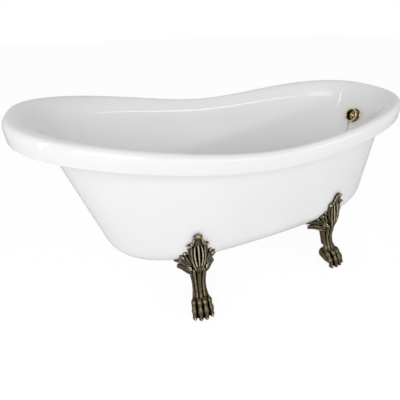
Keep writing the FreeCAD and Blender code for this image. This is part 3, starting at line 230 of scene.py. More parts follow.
@dataclass(frozen=True)
class AntiqueBronzeWithPaintedLight(Finish):
    """Cast brass under a dark patina: rubbed bright on its ridges, where a painted highlight is added, and
    nearly black in its hollows, where painted shade deepens the patina.
    """

    metallic: float = 1.0
    patch_octaves: float = 4.0
    grain_strength: float = 0.5
    # Colours of the hollows, darkened by patina and painted shade, of the body, and of the ridges, lightened
    # by rubbed brass and a painted highlight
    hollow: str = "#0B0906"
    body: str = "#6A5F49"
    ridge: str = "#EBE0C0"
    hollow_reach_mm: float = 16.0
    hollow_samples: int = 8
    # Pointiness where the ridge colour, rubbed brass with a painted highlight, starts, a little under that
    # of flat metal, and where it is complete
    edge_curvatures: tuple[float, float] = (0.485, 0.535)
    # Painted shade: from this share of open sky up to all of it, the tone shifts from the first of these to
    # the second, darker where less sky reaches
    open_share: float = 0.6
    open_shifts: tuple[float, float] = (-0.40, 0.08)
    # Painted shade on top of the patina: open sky of a hollow that is quite dark, and of metal that isn't
    # darkened
    dark_shares: tuple[float, float] = (0.30, 0.95)
    # How far the tone drifts from patch to patch
    wear: float = 0.34
    # Tones between which the metal keeps its body colour
    body_shares: tuple[float, float] = (0.42, 0.66)

    def colour(self, tree: bpy.types.NodeTree, patches: bpy.types.Node) -> Source:
        """Lays the nodes of the patina with its painted shade and painted highlights.

        Args:
            tree: The material's node tree.
            patches: Soft noise with patches of the finish's size.

        Returns:
            What feeds the shader's colour.
        """
        # Painted highlight, with the rubbed brass: sharper convex edges take the bright ridge colour
        curvature = add_node(tree, "ShaderNodeNewGeometry").outputs["Pointiness"]
        flat, rubbed_and_highlit = self.edge_curvatures
        edge = add_node(tree, "ShaderNodeMapRange", values={"From Min": flat, "From Max": rubbed_and_highlit},
                        links={"Value": curvature})
        # Painted shade from ambient occlusion: metal that sees less open sky is darkened
        sky = add_node(tree, "ShaderNodeAmbientOcclusion", {"samples": self.hollow_samples},
                       {"Distance": self.hollow_reach_mm * MM}).outputs["AO"]
        low, high = self.open_shifts
        shift = add_node(tree, "ShaderNodeMapRange",
                         values={"From Min": self.open_share, "To Min": low, "To Max": high},
                         links={"Value": sky})
        worn = add_node(tree, "ShaderNodeMath", {"operation": "MULTIPLY_ADD"},
                        {1: self.wear, 2: -self.wear / 2}, {0: patches})
        raised = add_node(tree, "ShaderNodeMath", {"operation": "ADD"}, links={0: edge, 1: shift})
        tone = add_node(tree, "ShaderNodeMath", {"operation": "ADD", "use_clamp": True},
                        links={0: raised, 1: worn})
        start, end = self.body_shares
        relief = add_node(tree, "ShaderNodeValToRGB", links={"Fac": tone},
                          stops=((0.0, self.hollow), (start, self.body), (end, self.body),
                                 (1.0, self.ridge)))
        # Painted shade: the less open sky, the closer the colour comes to the nearly black hollow colour
        dark, light = self.dark_shares
        depth = add_node(tree, "ShaderNodeMapRange", values={"From Min": dark, "From Max": light},
                         links={"Value": sky})
        mixed = add_node(tree, "ShaderNodeMix", {"data_type": "RGBA"}, {"A": linear(self.hollow)},
                         {"Factor": depth, "B": relief})
        return mixed.outputs["Result"]


@dataclass(frozen=True)
class LayeredBoard(Finish):
    """Birch plywood: wide pale grain on its faces and dark glue lines on its edges."""

    grain_strength: float = 0.5
    layer_mm: float = 8.79646
    swirl: float = 6.0
    glue: tuple[tuple[float, str], ...] = ((0.0, "#8A6B45"), (0.35, "#D8BE93"))

    def colour(self, tree: bpy.types.NodeTree, patches: bpy.types.Node) -> Source:
        """Lays the grain and the glue lines.

        Args:
            tree: The material's node tree.
            patches: Soft noise with patches of the finish's size, which the wood doesn't need.

        Returns:
            What feeds the shader's colour.
        """
        place = add_node(tree, "ShaderNodeTexCoord").outputs["Object"]
        grain = add_node(tree, "ShaderNodeTexWave", {"bands_direction": "Y"},
                         {"Scale": math.tau / (WAVE_RADIANS * self.patch_mm * MM),
                          "Distortion": self.swirl, "Detail": self.grain_octaves}, {"Vector": place})
        layers = add_node(tree, "ShaderNodeTexWave", {"bands_direction": "Z"},
                          {"Scale": math.tau / (WAVE_RADIANS * self.layer_mm * MM)}, {"Vector": place})
        face = add_node(tree, "ShaderNodeValToRGB", links={"Fac": grain.outputs["Fac"]},
                        stops=self.colours)
        edge = add_node(tree, "ShaderNodeValToRGB", links={"Fac": layers.outputs["Fac"]}, stops=self.glue)
        facing = add_node(tree, "ShaderNodeNewGeometry").outputs["Normal"]
        turned = add_node(tree, "ShaderNodeSeparateXYZ", links={0: facing})
        flat = add_node(tree, "ShaderNodeMath", {"operation": "ABSOLUTE"}, links={0: turned.outputs["Z"]})
        mixed = add_node(tree, "ShaderNodeMix", {"data_type": "RGBA"},
                         links={"Factor": flat, "A": edge, "B": face})
        return mixed.outputs["Result"]


FINISHES = {
    # Cast acrylic: thick and polished, so its gloss is sharp and its colour a clean neutral white
    Slot.ACRYLIC: Finish("cast_acrylic_polished", roughness=(0.05, 0.085), patch_mm=180.0, grain_mm=55.0,
                         grain_depth_mm=0.05, colours=((0.3, "#F7F7F7"), (0.7, "#F9F9F9")), ior=1.49),
    # Sand-cast brass, darkened in its hollows with a patina and painted shade, and rubbed back on its
    # ridges, where a painted highlight brightens it
    Slot.CASTING: AntiqueBronzeWithPaintedLight("cast_bronze_patina_painted_shade_highlight", roughness=(0.20, 0.34), patch_mm=14.0,
                                grain_mm=2.4, grain_depth_mm=0.10),
    # Turned brass with the same patina, painted shade and painted highlights, brighter because it is turned
    # and polished first
    Slot.TRIM: AntiqueBronzeWithPaintedLight("turned_bronze_patina_painted_shade_highlight", roughness=(0.14, 0.26), patch_mm=18.0,
                             grain_mm=1.6, grain_depth_mm=0.03, hollow="#1D170D", body="#A38A55",
                             ridge="#E6D3A0", hollow_reach_mm=5.0),
    # Moulded rubber with a soft bloom
    Slot.PLUG: Finish("moulded_rubber_black", roughness=(0.55, 0.70), patch_mm=12.0, grain_mm=1.2,
                      grain_depth_mm=0.05, colours=((0.3, "#1B1B1C"), (0.7, "#242425"))),
    # Silicone gaskets
    Slot.SEAL: Finish("silicone_gasket_grey", roughness=(0.45, 0.60), patch_mm=10.0, grain_mm=1.2,
                      grain_depth_mm=0.04, colours=((0.3, "#4A4B4D"), (0.7, "#56585A"))),
    # Injection-moulded polypropylene, with a slight sheen and a fine moulded grain
    Slot.PIPE: Finish("moulded_polypropylene_white", roughness=(0.30, 0.42), patch_mm=40.0, grain_mm=1.5,
                      grain_depth_mm=0.04, colours=((0.3, "#DCDDDB"), (0.7, "#E4E5E3"))),
    # Nylon glides
    Slot.PAD: Finish("moulded_nylon_black", roughness=(0.40, 0.52), patch_mm=10.0, grain_mm=1.0,
                     grain_depth_mm=0.05, colours=((0.3, "#202122"), (0.7, "#2A2B2C"))),
    # Rolled steel, zinc plated: cool grey with cloudy patches
    Slot.STEEL: Finish("rolled_steel_zinc_plated", roughness=(0.28, 0.46), patch_mm=22.0, grain_mm=1.8,
                       grain_depth_mm=0.04, colours=((0.25, "#8F9397"), (0.75, "#B4B8BB")), metallic=1.0),
    # Plywood, uncoated and matt
    Slot.BOARD: LayeredBoard("birch_plywood_raw", roughness=(0.75, 0.75), patch_mm=56.54867, grain_mm=1.5,
                             grain_depth_mm=0.12, colours=((0.2, "#C9A878"), (0.8, "#DDC298"))),
}

Materials = dict[Slot, bpy.types.Material]


@dataclass(frozen=True)
class BathForm:
    """The bath's own lines: its rim, its skin and its tub, in metres."""

    half_length: float = 0.800
    half_width: float = 0.375
    saddle: float = 0.677
    end_rise: float = 0.097
    rim_tilt: float = 0.026
    # Shares of the ends' rise in the second, third and fourth power of the way along
    rise_shares: tuple[float, ...] = (2.66, -2.40, 0.74)
    clearance: float = 0.180
    skin_thickness: float = 0.004
    skin_reference: float = 0.800
    # Left reach, right reach and half width of the skin's lines
    skin_bottom: tuple[float, float, float] = (0.559, 0.722, 0.289)
    skin_top: tuple[float, float, float] = (0.730, 0.768, 0.347)
    skin_bottom_power: float = 2.85
    skin_top_power: float = 2.21
    skin_corner: float = 0.112
    rim_powers: tuple[float, float] = (2.93, 2.54)
    sheet: float = 0.007
    board: float = 0.0203
    # Room between skin and tub at the left, at the right and at the sides
    cavity_bottom: tuple[float, float, float] = (0.014, 0.088, 0.011)
    cavity_top: tuple[float, float, float] = (0.0065, 0.012, 0.0045)
    tub_corner: float = 0.100
    roll: float = 0.038
    shoulder: float = 0.027
    flare: float = 0.077
    skirt: float = 0.061
    flange_drop: float = 0.054
    flange_gap: float = 0.0005
    points: int = 288
    fine_steps: int = 8

    @property
    def tub_floor(self) -> float:
        """Height of the tub's floor."""
        return self.clearance + self.skin_thickness + self.board + self.sheet

    def rim_height(self, share: float, lift: float = 1.0) -> float:
        """How high the rim's line climbs at a share of the half length."""
        rise = sum(part * abs(share) ** (power + 2) for power, part in enumerate(self.rise_shares))
        return lift * (self.end_rise * rise - self.rim_tilt * share)

    def skin_share(self, height: float) -> float:
        """Share of the way up the skin's reference height."""
        return (height - self.clearance) / (self.skin_reference - self.clearance)

    def skin_power(self, height: float) -> float:
        """Power of the skin's plan curve at a height."""
        return mix(self.skin_bottom_power, self.skin_top_power, self.skin_share(height))

    def skin_line(self, number: int, height: float) -> float:
        """Left, right or half width of the skin at a height."""
        return mix(self.skin_bottom[number], self.skin_top[number], self.skin_share(height))

    def tub_line(self, number: int, height: float) -> float:
        """Where the tub's inner face stands at a height.

        Args:
            number: 0 for its left reach, 1 for its right, 2 for its half width.
            height: The height.

        Returns:
            The reach.
        """
        share = (height - self.tub_floor) / (self.saddle - self.tub_floor)
        cavity = mix(self.cavity_bottom[number], self.cavity_top[number], share)
        return self.skin_line(number, height) - self.skin_thickness - cavity - self.sheet

    def ring(self, left: float, right: float, half_width: float, powers: tuple[float, float],
             middle: float, lift: float) -> list[Vector]:
        """A closed ring round the bath, in equal steps, whose ends climb with the rim.

        Args:
            left: Reach to the backrest end.
            right: Reach to the drain end.
            half_width: Reach to each side.
            powers: Powers of the plan curve along and across.
            middle: Height at the middle of the bath.
            lift: Share of the rim's climb.

        Returns:
            The ring's points, from the drain end through the back.
        """
        angles = np.linspace(0.0, math.tau, self.fine_steps * self.points + 1)
        cosines = np.cos(angles)
        sines = np.sin(angles)
        along = np.sign(cosines) * np.abs(cosines) ** (2 / powers[0])
        across = np.sign(sines) * np.abs(sines) ** (2 / powers[1])
        x = np.where(cosines >= 0, right, left) * along
        y = half_width * across
        run = np.concatenate(([0.0], np.cumsum(np.hypot(np.diff(x), np.diff(y)))))
        steps = np.linspace(0.0, run[-1], self.points + 1)[:-1]
        shares = np.interp(steps, run, along)
        return [Vector((px, py, middle + self.rim_height(share, lift))) for px, py, share in
                zip(np.interp(steps, run, x), np.interp(steps, run, y), shares)]

    def walled(self, line: Callable[[int, float], float], offset: float, middle: float, lift: float,
               inset: float = 0.0) -> list[Vector]:
        """A ring on the skin's or the tub's wall lines.

        Args:
            line: The wall lines, as skin_line or tub_line.
            offset: How far outside those lines.
            middle: Height at the middle of the bath.
            lift: Share of the rim's climb.
            inset: How far a rounded corner draws it in.

        Returns:
            The ring's points.
        """
        power = self.skin_power(middle)
        return self.ring(line(0, middle + self.rim_height(-1.0, lift)) + offset - inset,
                         line(1, middle + self.rim_height(1.0, lift)) + offset - inset,
                         line(2, middle) + offset - inset, (power, power), middle, lift)

    def bowl(self, line: Callable[[int, float], float], floor: float, radius: float, offset: float,
             top: float, corner_steps: int = 14, wall_steps: int = 16) -> list[list[Vector]]:
        """Rings of a rounded floor corner and the wall over it, from the floor up.

        Args:
            line: The wall lines, as skin_line or tub_line.
            floor: Height of the floor.
            radius: Radius of the corner.
            offset: How far outside those lines and under that floor.
            top: Height of the last ring at the middle of the bath.
            corner_steps: Steps round the corner.
            wall_steps: Steps up the wall.

        Returns:
            The rings in order.
        """
        radius += offset
        floor -= offset
        rings = []
        for step in range(corner_steps + 1):
            angle = math.pi / 2 * step / corner_steps
            height = floor + radius * (1 - math.cos(angle))
            rings.append(self.walled(line, offset, height, 0.0, radius * (1 - math.sin(angle))))
        for step in range(1, wall_steps + 1):
            share = step / wall_steps
            rings.append(self.walled(line, offset, mix(floor + radius, top, share), share))
        return rings

    def rim_ring(self, inset: float, drop: float) -> list[Vector]:
        """A ring in from the rim's outer line and below its top."""
        return self.ring(self.half_length - inset, self.half_length - inset, self.half_width - inset,
                         self.rim_powers, self.saddle - drop, 1.0)

    def tub_rings(self, offset: float, flare_steps: int = 22,
                  shoulder_steps: int = 16) -> list[list[Vector]]:
        """Rings of one face of the sheet, from the floor over the roll to its outer line.

        Args:
            offset: 0 for the face that shows, the sheet's thickness for its back.
            flare_steps: Rings from the wall to the crown.
            shoulder_steps: Rings from the crown to the outer line.

        Returns:
            The rings in order.
        """
        foot = self.saddle - self.flare
        power = self.skin_power(foot)
        half_roll = self.roll / 2
        crown_length = self.half_length - half_roll
        crown_width = self.half_width - half_roll
        rings = self.bowl(self.tub_line, self.tub_floor, self.tub_corner, offset, foot)
        for step in range(1, flare_steps + 1):
            angle = math.pi / 2 * step / flare_steps
            height = foot + (self.flare - offset) * math.sin(angle)
            out = 1 - math.cos(angle)
            reaches = [mix(self.tub_line(number, height + rise) + offset, crown, out)
                       for number, rise, crown in ((0, self.rim_height(-1.0), crown_length),
                                                   (1, self.rim_height(1.0), crown_length),
                                                   (2, 0.0, crown_width))]
            powers = tuple(mix(power, rim_power, out) for rim_power in self.rim_powers)
            rings.append(self.ring(*reaches, powers, height, 1.0))
        for step in range(1, shoulder_steps + 1):
            angle = math.pi / 2 * step / shoulder_steps
            out = (half_roll - offset) * math.sin(angle)
            drop = self.shoulder - (self.shoulder - offset) * math.cos(angle)
            rings.append(self.rim_ring(half_roll - out, drop))
        return rings

    def skin_depth(self, x: np.ndarray, z: np.ndarray, offset: float = 0.0) -> np.ndarray:
        """How far the skin's side stands from the middle plane.

        Args:
            x: Places along the bath.
            z: Heights.
            offset: How far outside the skin.

        Returns:
            Distances from the middle plane, 0 where the skin doesn't reach.
        """
        radius = self.skin_corner + offset
        fall = np.clip((self.clearance + self.skin_corner - z) / radius, 0.0, 1.0)
        inset = radius * (1 - np.sqrt(1 - fall ** 2))
        share = (z - self.clearance) / (self.skin_reference - self.clearance)
        ends = np.where(x > 0, mix(self.skin_bottom[1], self.skin_top[1], share),
                        mix(self.skin_bottom[0], self.skin_top[0], share)) - inset + offset
        width = mix(self.skin_bottom[2], self.skin_top[2], share) - inset + offset
        power = mix(self.skin_bottom_power, self.skin_top_power, share)
        reach = np.clip(1 - np.abs(x / ends) ** power, 0.0, 1.0)
        depth = width * reach ** (1 / power)
        return np.where(z < self.clearance - offset, 0.0, depth)


def link_object(name: str, data: bpy.types.ID) -> bpy.types.Object:
    """Puts a mesh, a camera or a lamp into the scene as an object.

    Args:
        name: The object's name.
        data: What it shows.

    Returns:
        The new object.
    """
    made = bpy.data.objects.new(name, data)
    bpy.context.scene.collection.objects.link(made)
    return made


def finish_object(name: str, bm: bmesh.types.BMesh, smooth: bool = True) -> bpy.types.Object:
    """Turns a bmesh into an object and frees it.

    Args:
        name: The object's name.
        bm: The bmesh.
        smooth: Whether its faces are shaded smooth.

    Returns:
        The new object.
    """
    mesh = bpy.data.meshes.new(name)
    bm.to_mesh(mesh)
    bm.free()
    mesh.polygons.foreach_set("use_smooth", [smooth] * len(mesh.polygons))
    return link_object(name, mesh)


def flattened(piece: bpy.types.Object) -> None:
    """Applies a piece's modifiers to its mesh.

    Args:
        piece: The piece.
    """
    bpy.context.view_layer.update()
    depsgraph = bpy.context.evaluated_depsgraph_get()
    mesh = bpy.data.meshes.new_from_object(piece.evaluated_get(depsgraph))
    piece.modifiers.clear()
    piece.data = mesh


def carve(piece: bpy.types.Object, tools: Sequence[bpy.types.Object]) -> None:
    """Cuts tools out of a piece and removes the tools.

    Args:
        piece: The piece that is cut.
        tools: Closed meshes to take away.
    """
    for tool in tools:
        modifier = piece.modifiers.new(tool.name, "BOOLEAN")
        modifier.operation = "DIFFERENCE"
        modifier.solver = "EXACT"
        modifier.object = tool
    flattened(piece)
    for tool in tools:
        bpy.data.objects.remove(tool)


def cylinder(name: str, radius: float, start: Vector, end: Vector, segments: int = 48) -> bpy.types.Object:
    """A plain round tool between two points.

    Args:
        name: The object's name.
        radius: Its radius.
        start: Middle of one end.
        end: Middle of the other end.
        segments: Sides of the round.

    Returns:
        The new object.
    """
    axis = end - start
    turn = UP.rotation_difference(axis).to_matrix().to_4x4()
    bm = bmesh.new()
    bmesh.ops.create_cone(bm, cap_ends=True, segments=segments, radius1=radius, radius2=radius,
                          depth=axis.length, matrix=Matrix.Translation((start + end) / 2) @ turn)
    return finish_object(name, bm)


def box(name: str, placement: Matrix, size: Sequence[float]) -> bpy.types.Object:
    """A plain block.

    Args:
        name: The object's name.
        placement: Where its middle stands.
        size: Its length, width and height.

    Returns:
        The new object.
    """
    bm = bmesh.new()
    bmesh.ops.create_cube(bm, size=1.0, matrix=placement @ Matrix.Diagonal((*size, 1.0)))
    return finish_object(name, bm)


def loop_edges(bm: bmesh.types.BMesh, ring: Sequence[bmesh.types.BMVert]) -> list[bmesh.types.BMEdge]:
    """The edges of a closed ring of vertices."""
    return [bm.edges.get((first, second)) for first, second in zip(ring, list(ring[1:]) + [ring[0]])]


def first_ring(bm: bmesh.types.BMesh, places: Sequence[Vector]) -> list[bmesh.types.BMVert]:
    """Starts a skin with one closed ring.

    Args:
        bm: The bmesh.
        places: The ring's points.

    Returns:
        The ring's vertices.
    """
    made = bmesh.ops.create_circle(bm, segments=len(places), radius=1.0)["verts"]
    for vert, place in zip(made, places):
        vert.co = place
    return list(made)


def next_ring(bm: bmesh.types.BMesh, ring: Sequence[bmesh.types.BMVert],
              places: Sequence[Vector]) -> list[bmesh.types.BMVert]:
    """Extrudes a ring and moves the copy to its places.

    Args:
        bm: The bmesh.
        ring: The last ring's vertices.
        places: The new ring's points.

    Returns:
        The new ring's vertices.
    """
    made = bmesh.ops.extrude_edge_only(bm, edges=loop_edges(bm, ring))["geom"]
    fresh = {item for item in made if isinstance(item, bmesh.types.BMVert)}
    following = [next(edge.other_vert(vert) for edge in vert.link_edges
                      if edge.other_vert(vert) in fresh) for vert in ring]
    for vert, place in zip(following, places):
        vert.co = place
    return following


def ring_shell(name: str, rings: Sequence[Sequence[Vector]]) -> bpy.types.Object:
    """A closed skin through rings whose last ring joins the first.

    Args:
        name: The object's name.
        rings: The rings in order round the section.

    Returns:
        The new object.
    """
    bm = bmesh.new()
    start = first_ring(bm, rings[0])
    ring = start
    for following in rings[1:]:
        ring = next_ring(bm, ring, following)
    bmesh.ops.bridge_loops(bm, edges=loop_edges(bm, start) + loop_edges(bm, ring))
    bmesh.ops.recalc_face_normals(bm, faces=bm.faces)
    return finish_object(name, bm)


def dress(piece: bpy.types.Object, materials: Materials, slot: Slot, body: str, node: str) -> None:
    """Gives a piece the material of its slot and its body, and hides the CAD node that it replaces.

    Args:
        piece: The piece.
        materials: One material for each slot.
        slot: The record's slot of the piece's finish.
        body: The body that it rides on.
        node: The CAD node that it replaces.
    """
    piece.data.materials.clear()
    piece.data.materials.append(materials[slot])
    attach(piece, body)
    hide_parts(node)
    log.info("%s: %d faces", piece.name, len(piece.data.polygons))


@dataclass
class Wall:
    """The overflow's place on the drain end wall."""

    form: BathForm
    height: float = 0.600

    @property
    def slope(self) -> float:
        """How much the wall leans out for each metre up."""
        low = self.form.tub_floor
        return (self.form.tub_line(1, self.height) - self.form.tub_line(1, low)) / (self.height - low)

    @property
    def placement(self) -> Matrix:
        """From the overflow's own frame, Z out of the wall and X up it, to the bath.

        Returns:
            The placement.
        """
        up = Vector((self.slope, 0.0, 1.0)).normalized()
        out = Vector((-1.0, 0.0, self.slope)).normalized()
        turn = Matrix((up, out.cross(up), out)).transposed().to_4x4()
        return Matrix.Translation((self.form.tub_line(1, self.height), 0.0, self.height)) @ turn


@dataclass
class BathShells:
    """The inner tub and the outer skin."""

    form: BathForm
    wall: Wall
    drain: float = 0.480
    # Radius and depth of the rings of the dish round the drain
    dish: tuple[tuple[float, float], ...] = ((0.024, 0.0025), (0.036, 0.0025), (0.044, 0.0))
    overflow_hole: float = 0.022
    hole_reach: float = 0.020
    hole_sides: int = 64
    access: float = 0.050
    # The overflow pipe's ends, and how far along it the hole's tool reaches
    pipe_low: tuple[float, float, float] = (0.650, 0.0, 0.1503)
    pipe_high: tuple[float, float, float] = (0.7117, 0.0, 0.290)
    pipe_share: float = 0.66
    pipe_hole: float = 0.0135
    hem_round: float = 0.003
    hem_steps: int = 8

    def aimed(self, outer: Sequence[Vector], radius: float, height: float) -> list[Vector]:
        """A circle round the drain whose points look at those of an outer ring.

        Args:
            outer: The outer ring.
            radius: The circle's radius.
            height: The circle's height.

        Returns:
            The circle's points.
        """
        circle = []
        for place in outer:
            angle = math.atan2(place.y, place.x - self.drain)
            circle.append(Vector((self.drain + radius * math.cos(angle), radius * math.sin(angle), height)))
        return circle

    def hem(self) -> list[list[Vector]]:
        """Rings round the rolled rim's lower edge.

        Returns:
            The rings, from its outer face to its back.
        """
        form = self.form
        rings = []
        for step in range(self.hem_steps + 1):
            angle = math.pi * step / self.hem_steps
            inset = form.sheet / 2 * (1 - math.cos(angle))
            rings.append(form.rim_ring(inset, form.skirt - self.hem_round * (1 - math.sin(angle))))
        return rings

    def tub(self) -> bpy.types.Object:
        """The formed sheet with its floor, its dish, its roll and its holes.

        Returns:
            The tub.
        """
        form = self.form
        floor = form.tub_floor
        inner = form.tub_rings(0.0)
        outer = form.tub_rings(form.sheet)
        dish = [self.aimed(inner[0], radius, floor - drop) for radius, drop in self.dish]
        # The dish's back is flat, so its outer and its inner ring are enough
        back = [self.aimed(outer[0], radius, floor - form.sheet) for radius, _ in self.dish[::-2]]
        piece = ring_shell("tub", dish + inner + self.hem() + outer[::-1] + back)
        placement = self.wall.placement
        reach = UP * self.hole_reach
        carve(piece, [cylinder("overflow_hole", self.overflow_hole, placement @ -reach,
                               placement @ reach, self.hole_sides)])
        return piece

    def skin(self) -> bpy.types.Object:
        """The outer skin with its flange and the holes in its floor.

        Returns:
            The skin.
        """
        form = self.form
        flange = form.saddle - form.flange_drop
        edge = form.sheet + form.flange_gap
        outer = form.bowl(form.skin_line, form.clearance, form.skin_corner, 0.0,
                          flange - form.skin_thickness)
        inner = form.bowl(form.skin_line, form.clearance, form.skin_corner, -form.skin_thickness,
                          flange)
        low_edge = form.rim_ring(edge, form.flange_drop + form.skin_thickness)
        high_edge = form.rim_ring(edge, form.flange_drop)
        start = [self.aimed(outer[0], self.access, form.clearance)]
        end = [self.aimed(inner[0], self.access, form.clearance + form.skin_thickness)]
        piece = ring_shell("skin", start + outer + [low_edge, high_edge] + inner[::-1] + end)
        low = Vector(self.pipe_low)
        high = low.lerp(Vector(self.pipe_high), self.pipe_share)
        carve(piece, [cylinder("pipe_hole", self.pipe_hole, low, high)])
        return piece

    def add(self, materials: Materials) -> None:
        """Builds and dresses both shells."""
        dress(self.tub(), materials, Slot.ACRYLIC, "root", "inner_tub")
        dress(self.skin(), materials, Slot.ACRYLIC, "root", "outer_shell")


# Rings that round off a rod's end: their size as a share of the end's, their reach as one of its half depth
CAP_SHARES = ((0.94, 0.34), (0.72, 0.70), (0.38, 0.93))


@dataclass
class Rod:
    """A swelling limb of a casting: stations of place, half width and half depth, in millimetres."""

    stations: tuple[tuple[float, ...], ...]
    steps: int = 5
    sides: int = 14
    # A run that points nearly straight out of the foot gives no side of its own, only one shorter than this
    least_side: float = 0.1

    def line(self) -> np.ndarray:
        """The stations joined by a smooth curve.

        Returns:
            One row for each step: place, half width and half depth.
        """
        rows = np.array(self.stations, float)
        padded = np.vstack((2 * rows[0] - rows[1], rows, 2 * rows[-1] - rows[-2]))
        padded[0, 3:] = rows[0, 3:]
        padded[-1, 3:] = rows[-1, 3:]
        smooth = []
        for before, start, end, after in zip(padded, padded[1:], padded[2:], padded[3:]):
            for step in range(self.steps):
                t = step / self.steps
                smooth.append(0.5 * (2 * start + (end - before) * t
                                     + (2 * before - 5 * start + 4 * end - after) * t ** 2
                                     + (3 * start - before - 3 * end + after) * t ** 3))
        smooth.append(rows[-1])
        return np.array(smooth)

    def build(self, bm: bmesh.types.BMesh, placed: Callable[[Vector], Vector], hand: int = 1) -> None:
        """Adds the limb's closed skin, with round ends, to a bmesh.

        Args:
            bm: The bmesh.
            placed: Takes a point in millimetres to its place in the bath.
            hand: 1, or -1 for its mirror image on the other side of the foot.
        """
        line = self.line()
        rows = []
        for number, row in enumerate(line):
            ahead = line[min(number + 1, len(line) - 1)][:3] - line[max(number - 1, 0)][:3]
            rows.append((Vector(row[:3]), Vector(ahead).normalized(), row[3], row[4]))
        head, tail = [[(middle + run * way * depth * reach, run, width * wide, depth * wide)
                       for wide, reach in CAP_SHARES]
                      for way, (middle, run, width, depth) in ((-1, rows[0]), (1, rows[-1]))]
        ring: list[bmesh.types.BMVert] = []
        for middle, run, width, depth in head[::-1] + rows + tail:
            side = run.cross(ACROSS)
            side = side.normalized() if side.length > self.least_side else ALONG
            front = side.cross(run).normalized()
            places = []
            for step in range(self.sides):
                angle = math.tau * step / self.sides
                place = middle + side * (width * math.cos(angle)) + front * (depth * math.sin(angle))
                places.append(placed(Vector((place.x * hand, place.y, place.z))))
            if ring:
                ring = next_ring(bm, ring, places)
            else:
                ring = first_ring(bm, places)
                bmesh.ops.contextual_create(bm, geom=loop_edges(bm, ring))
        bmesh.ops.contextual_create(bm, geom=loop_edges(bm, ring))


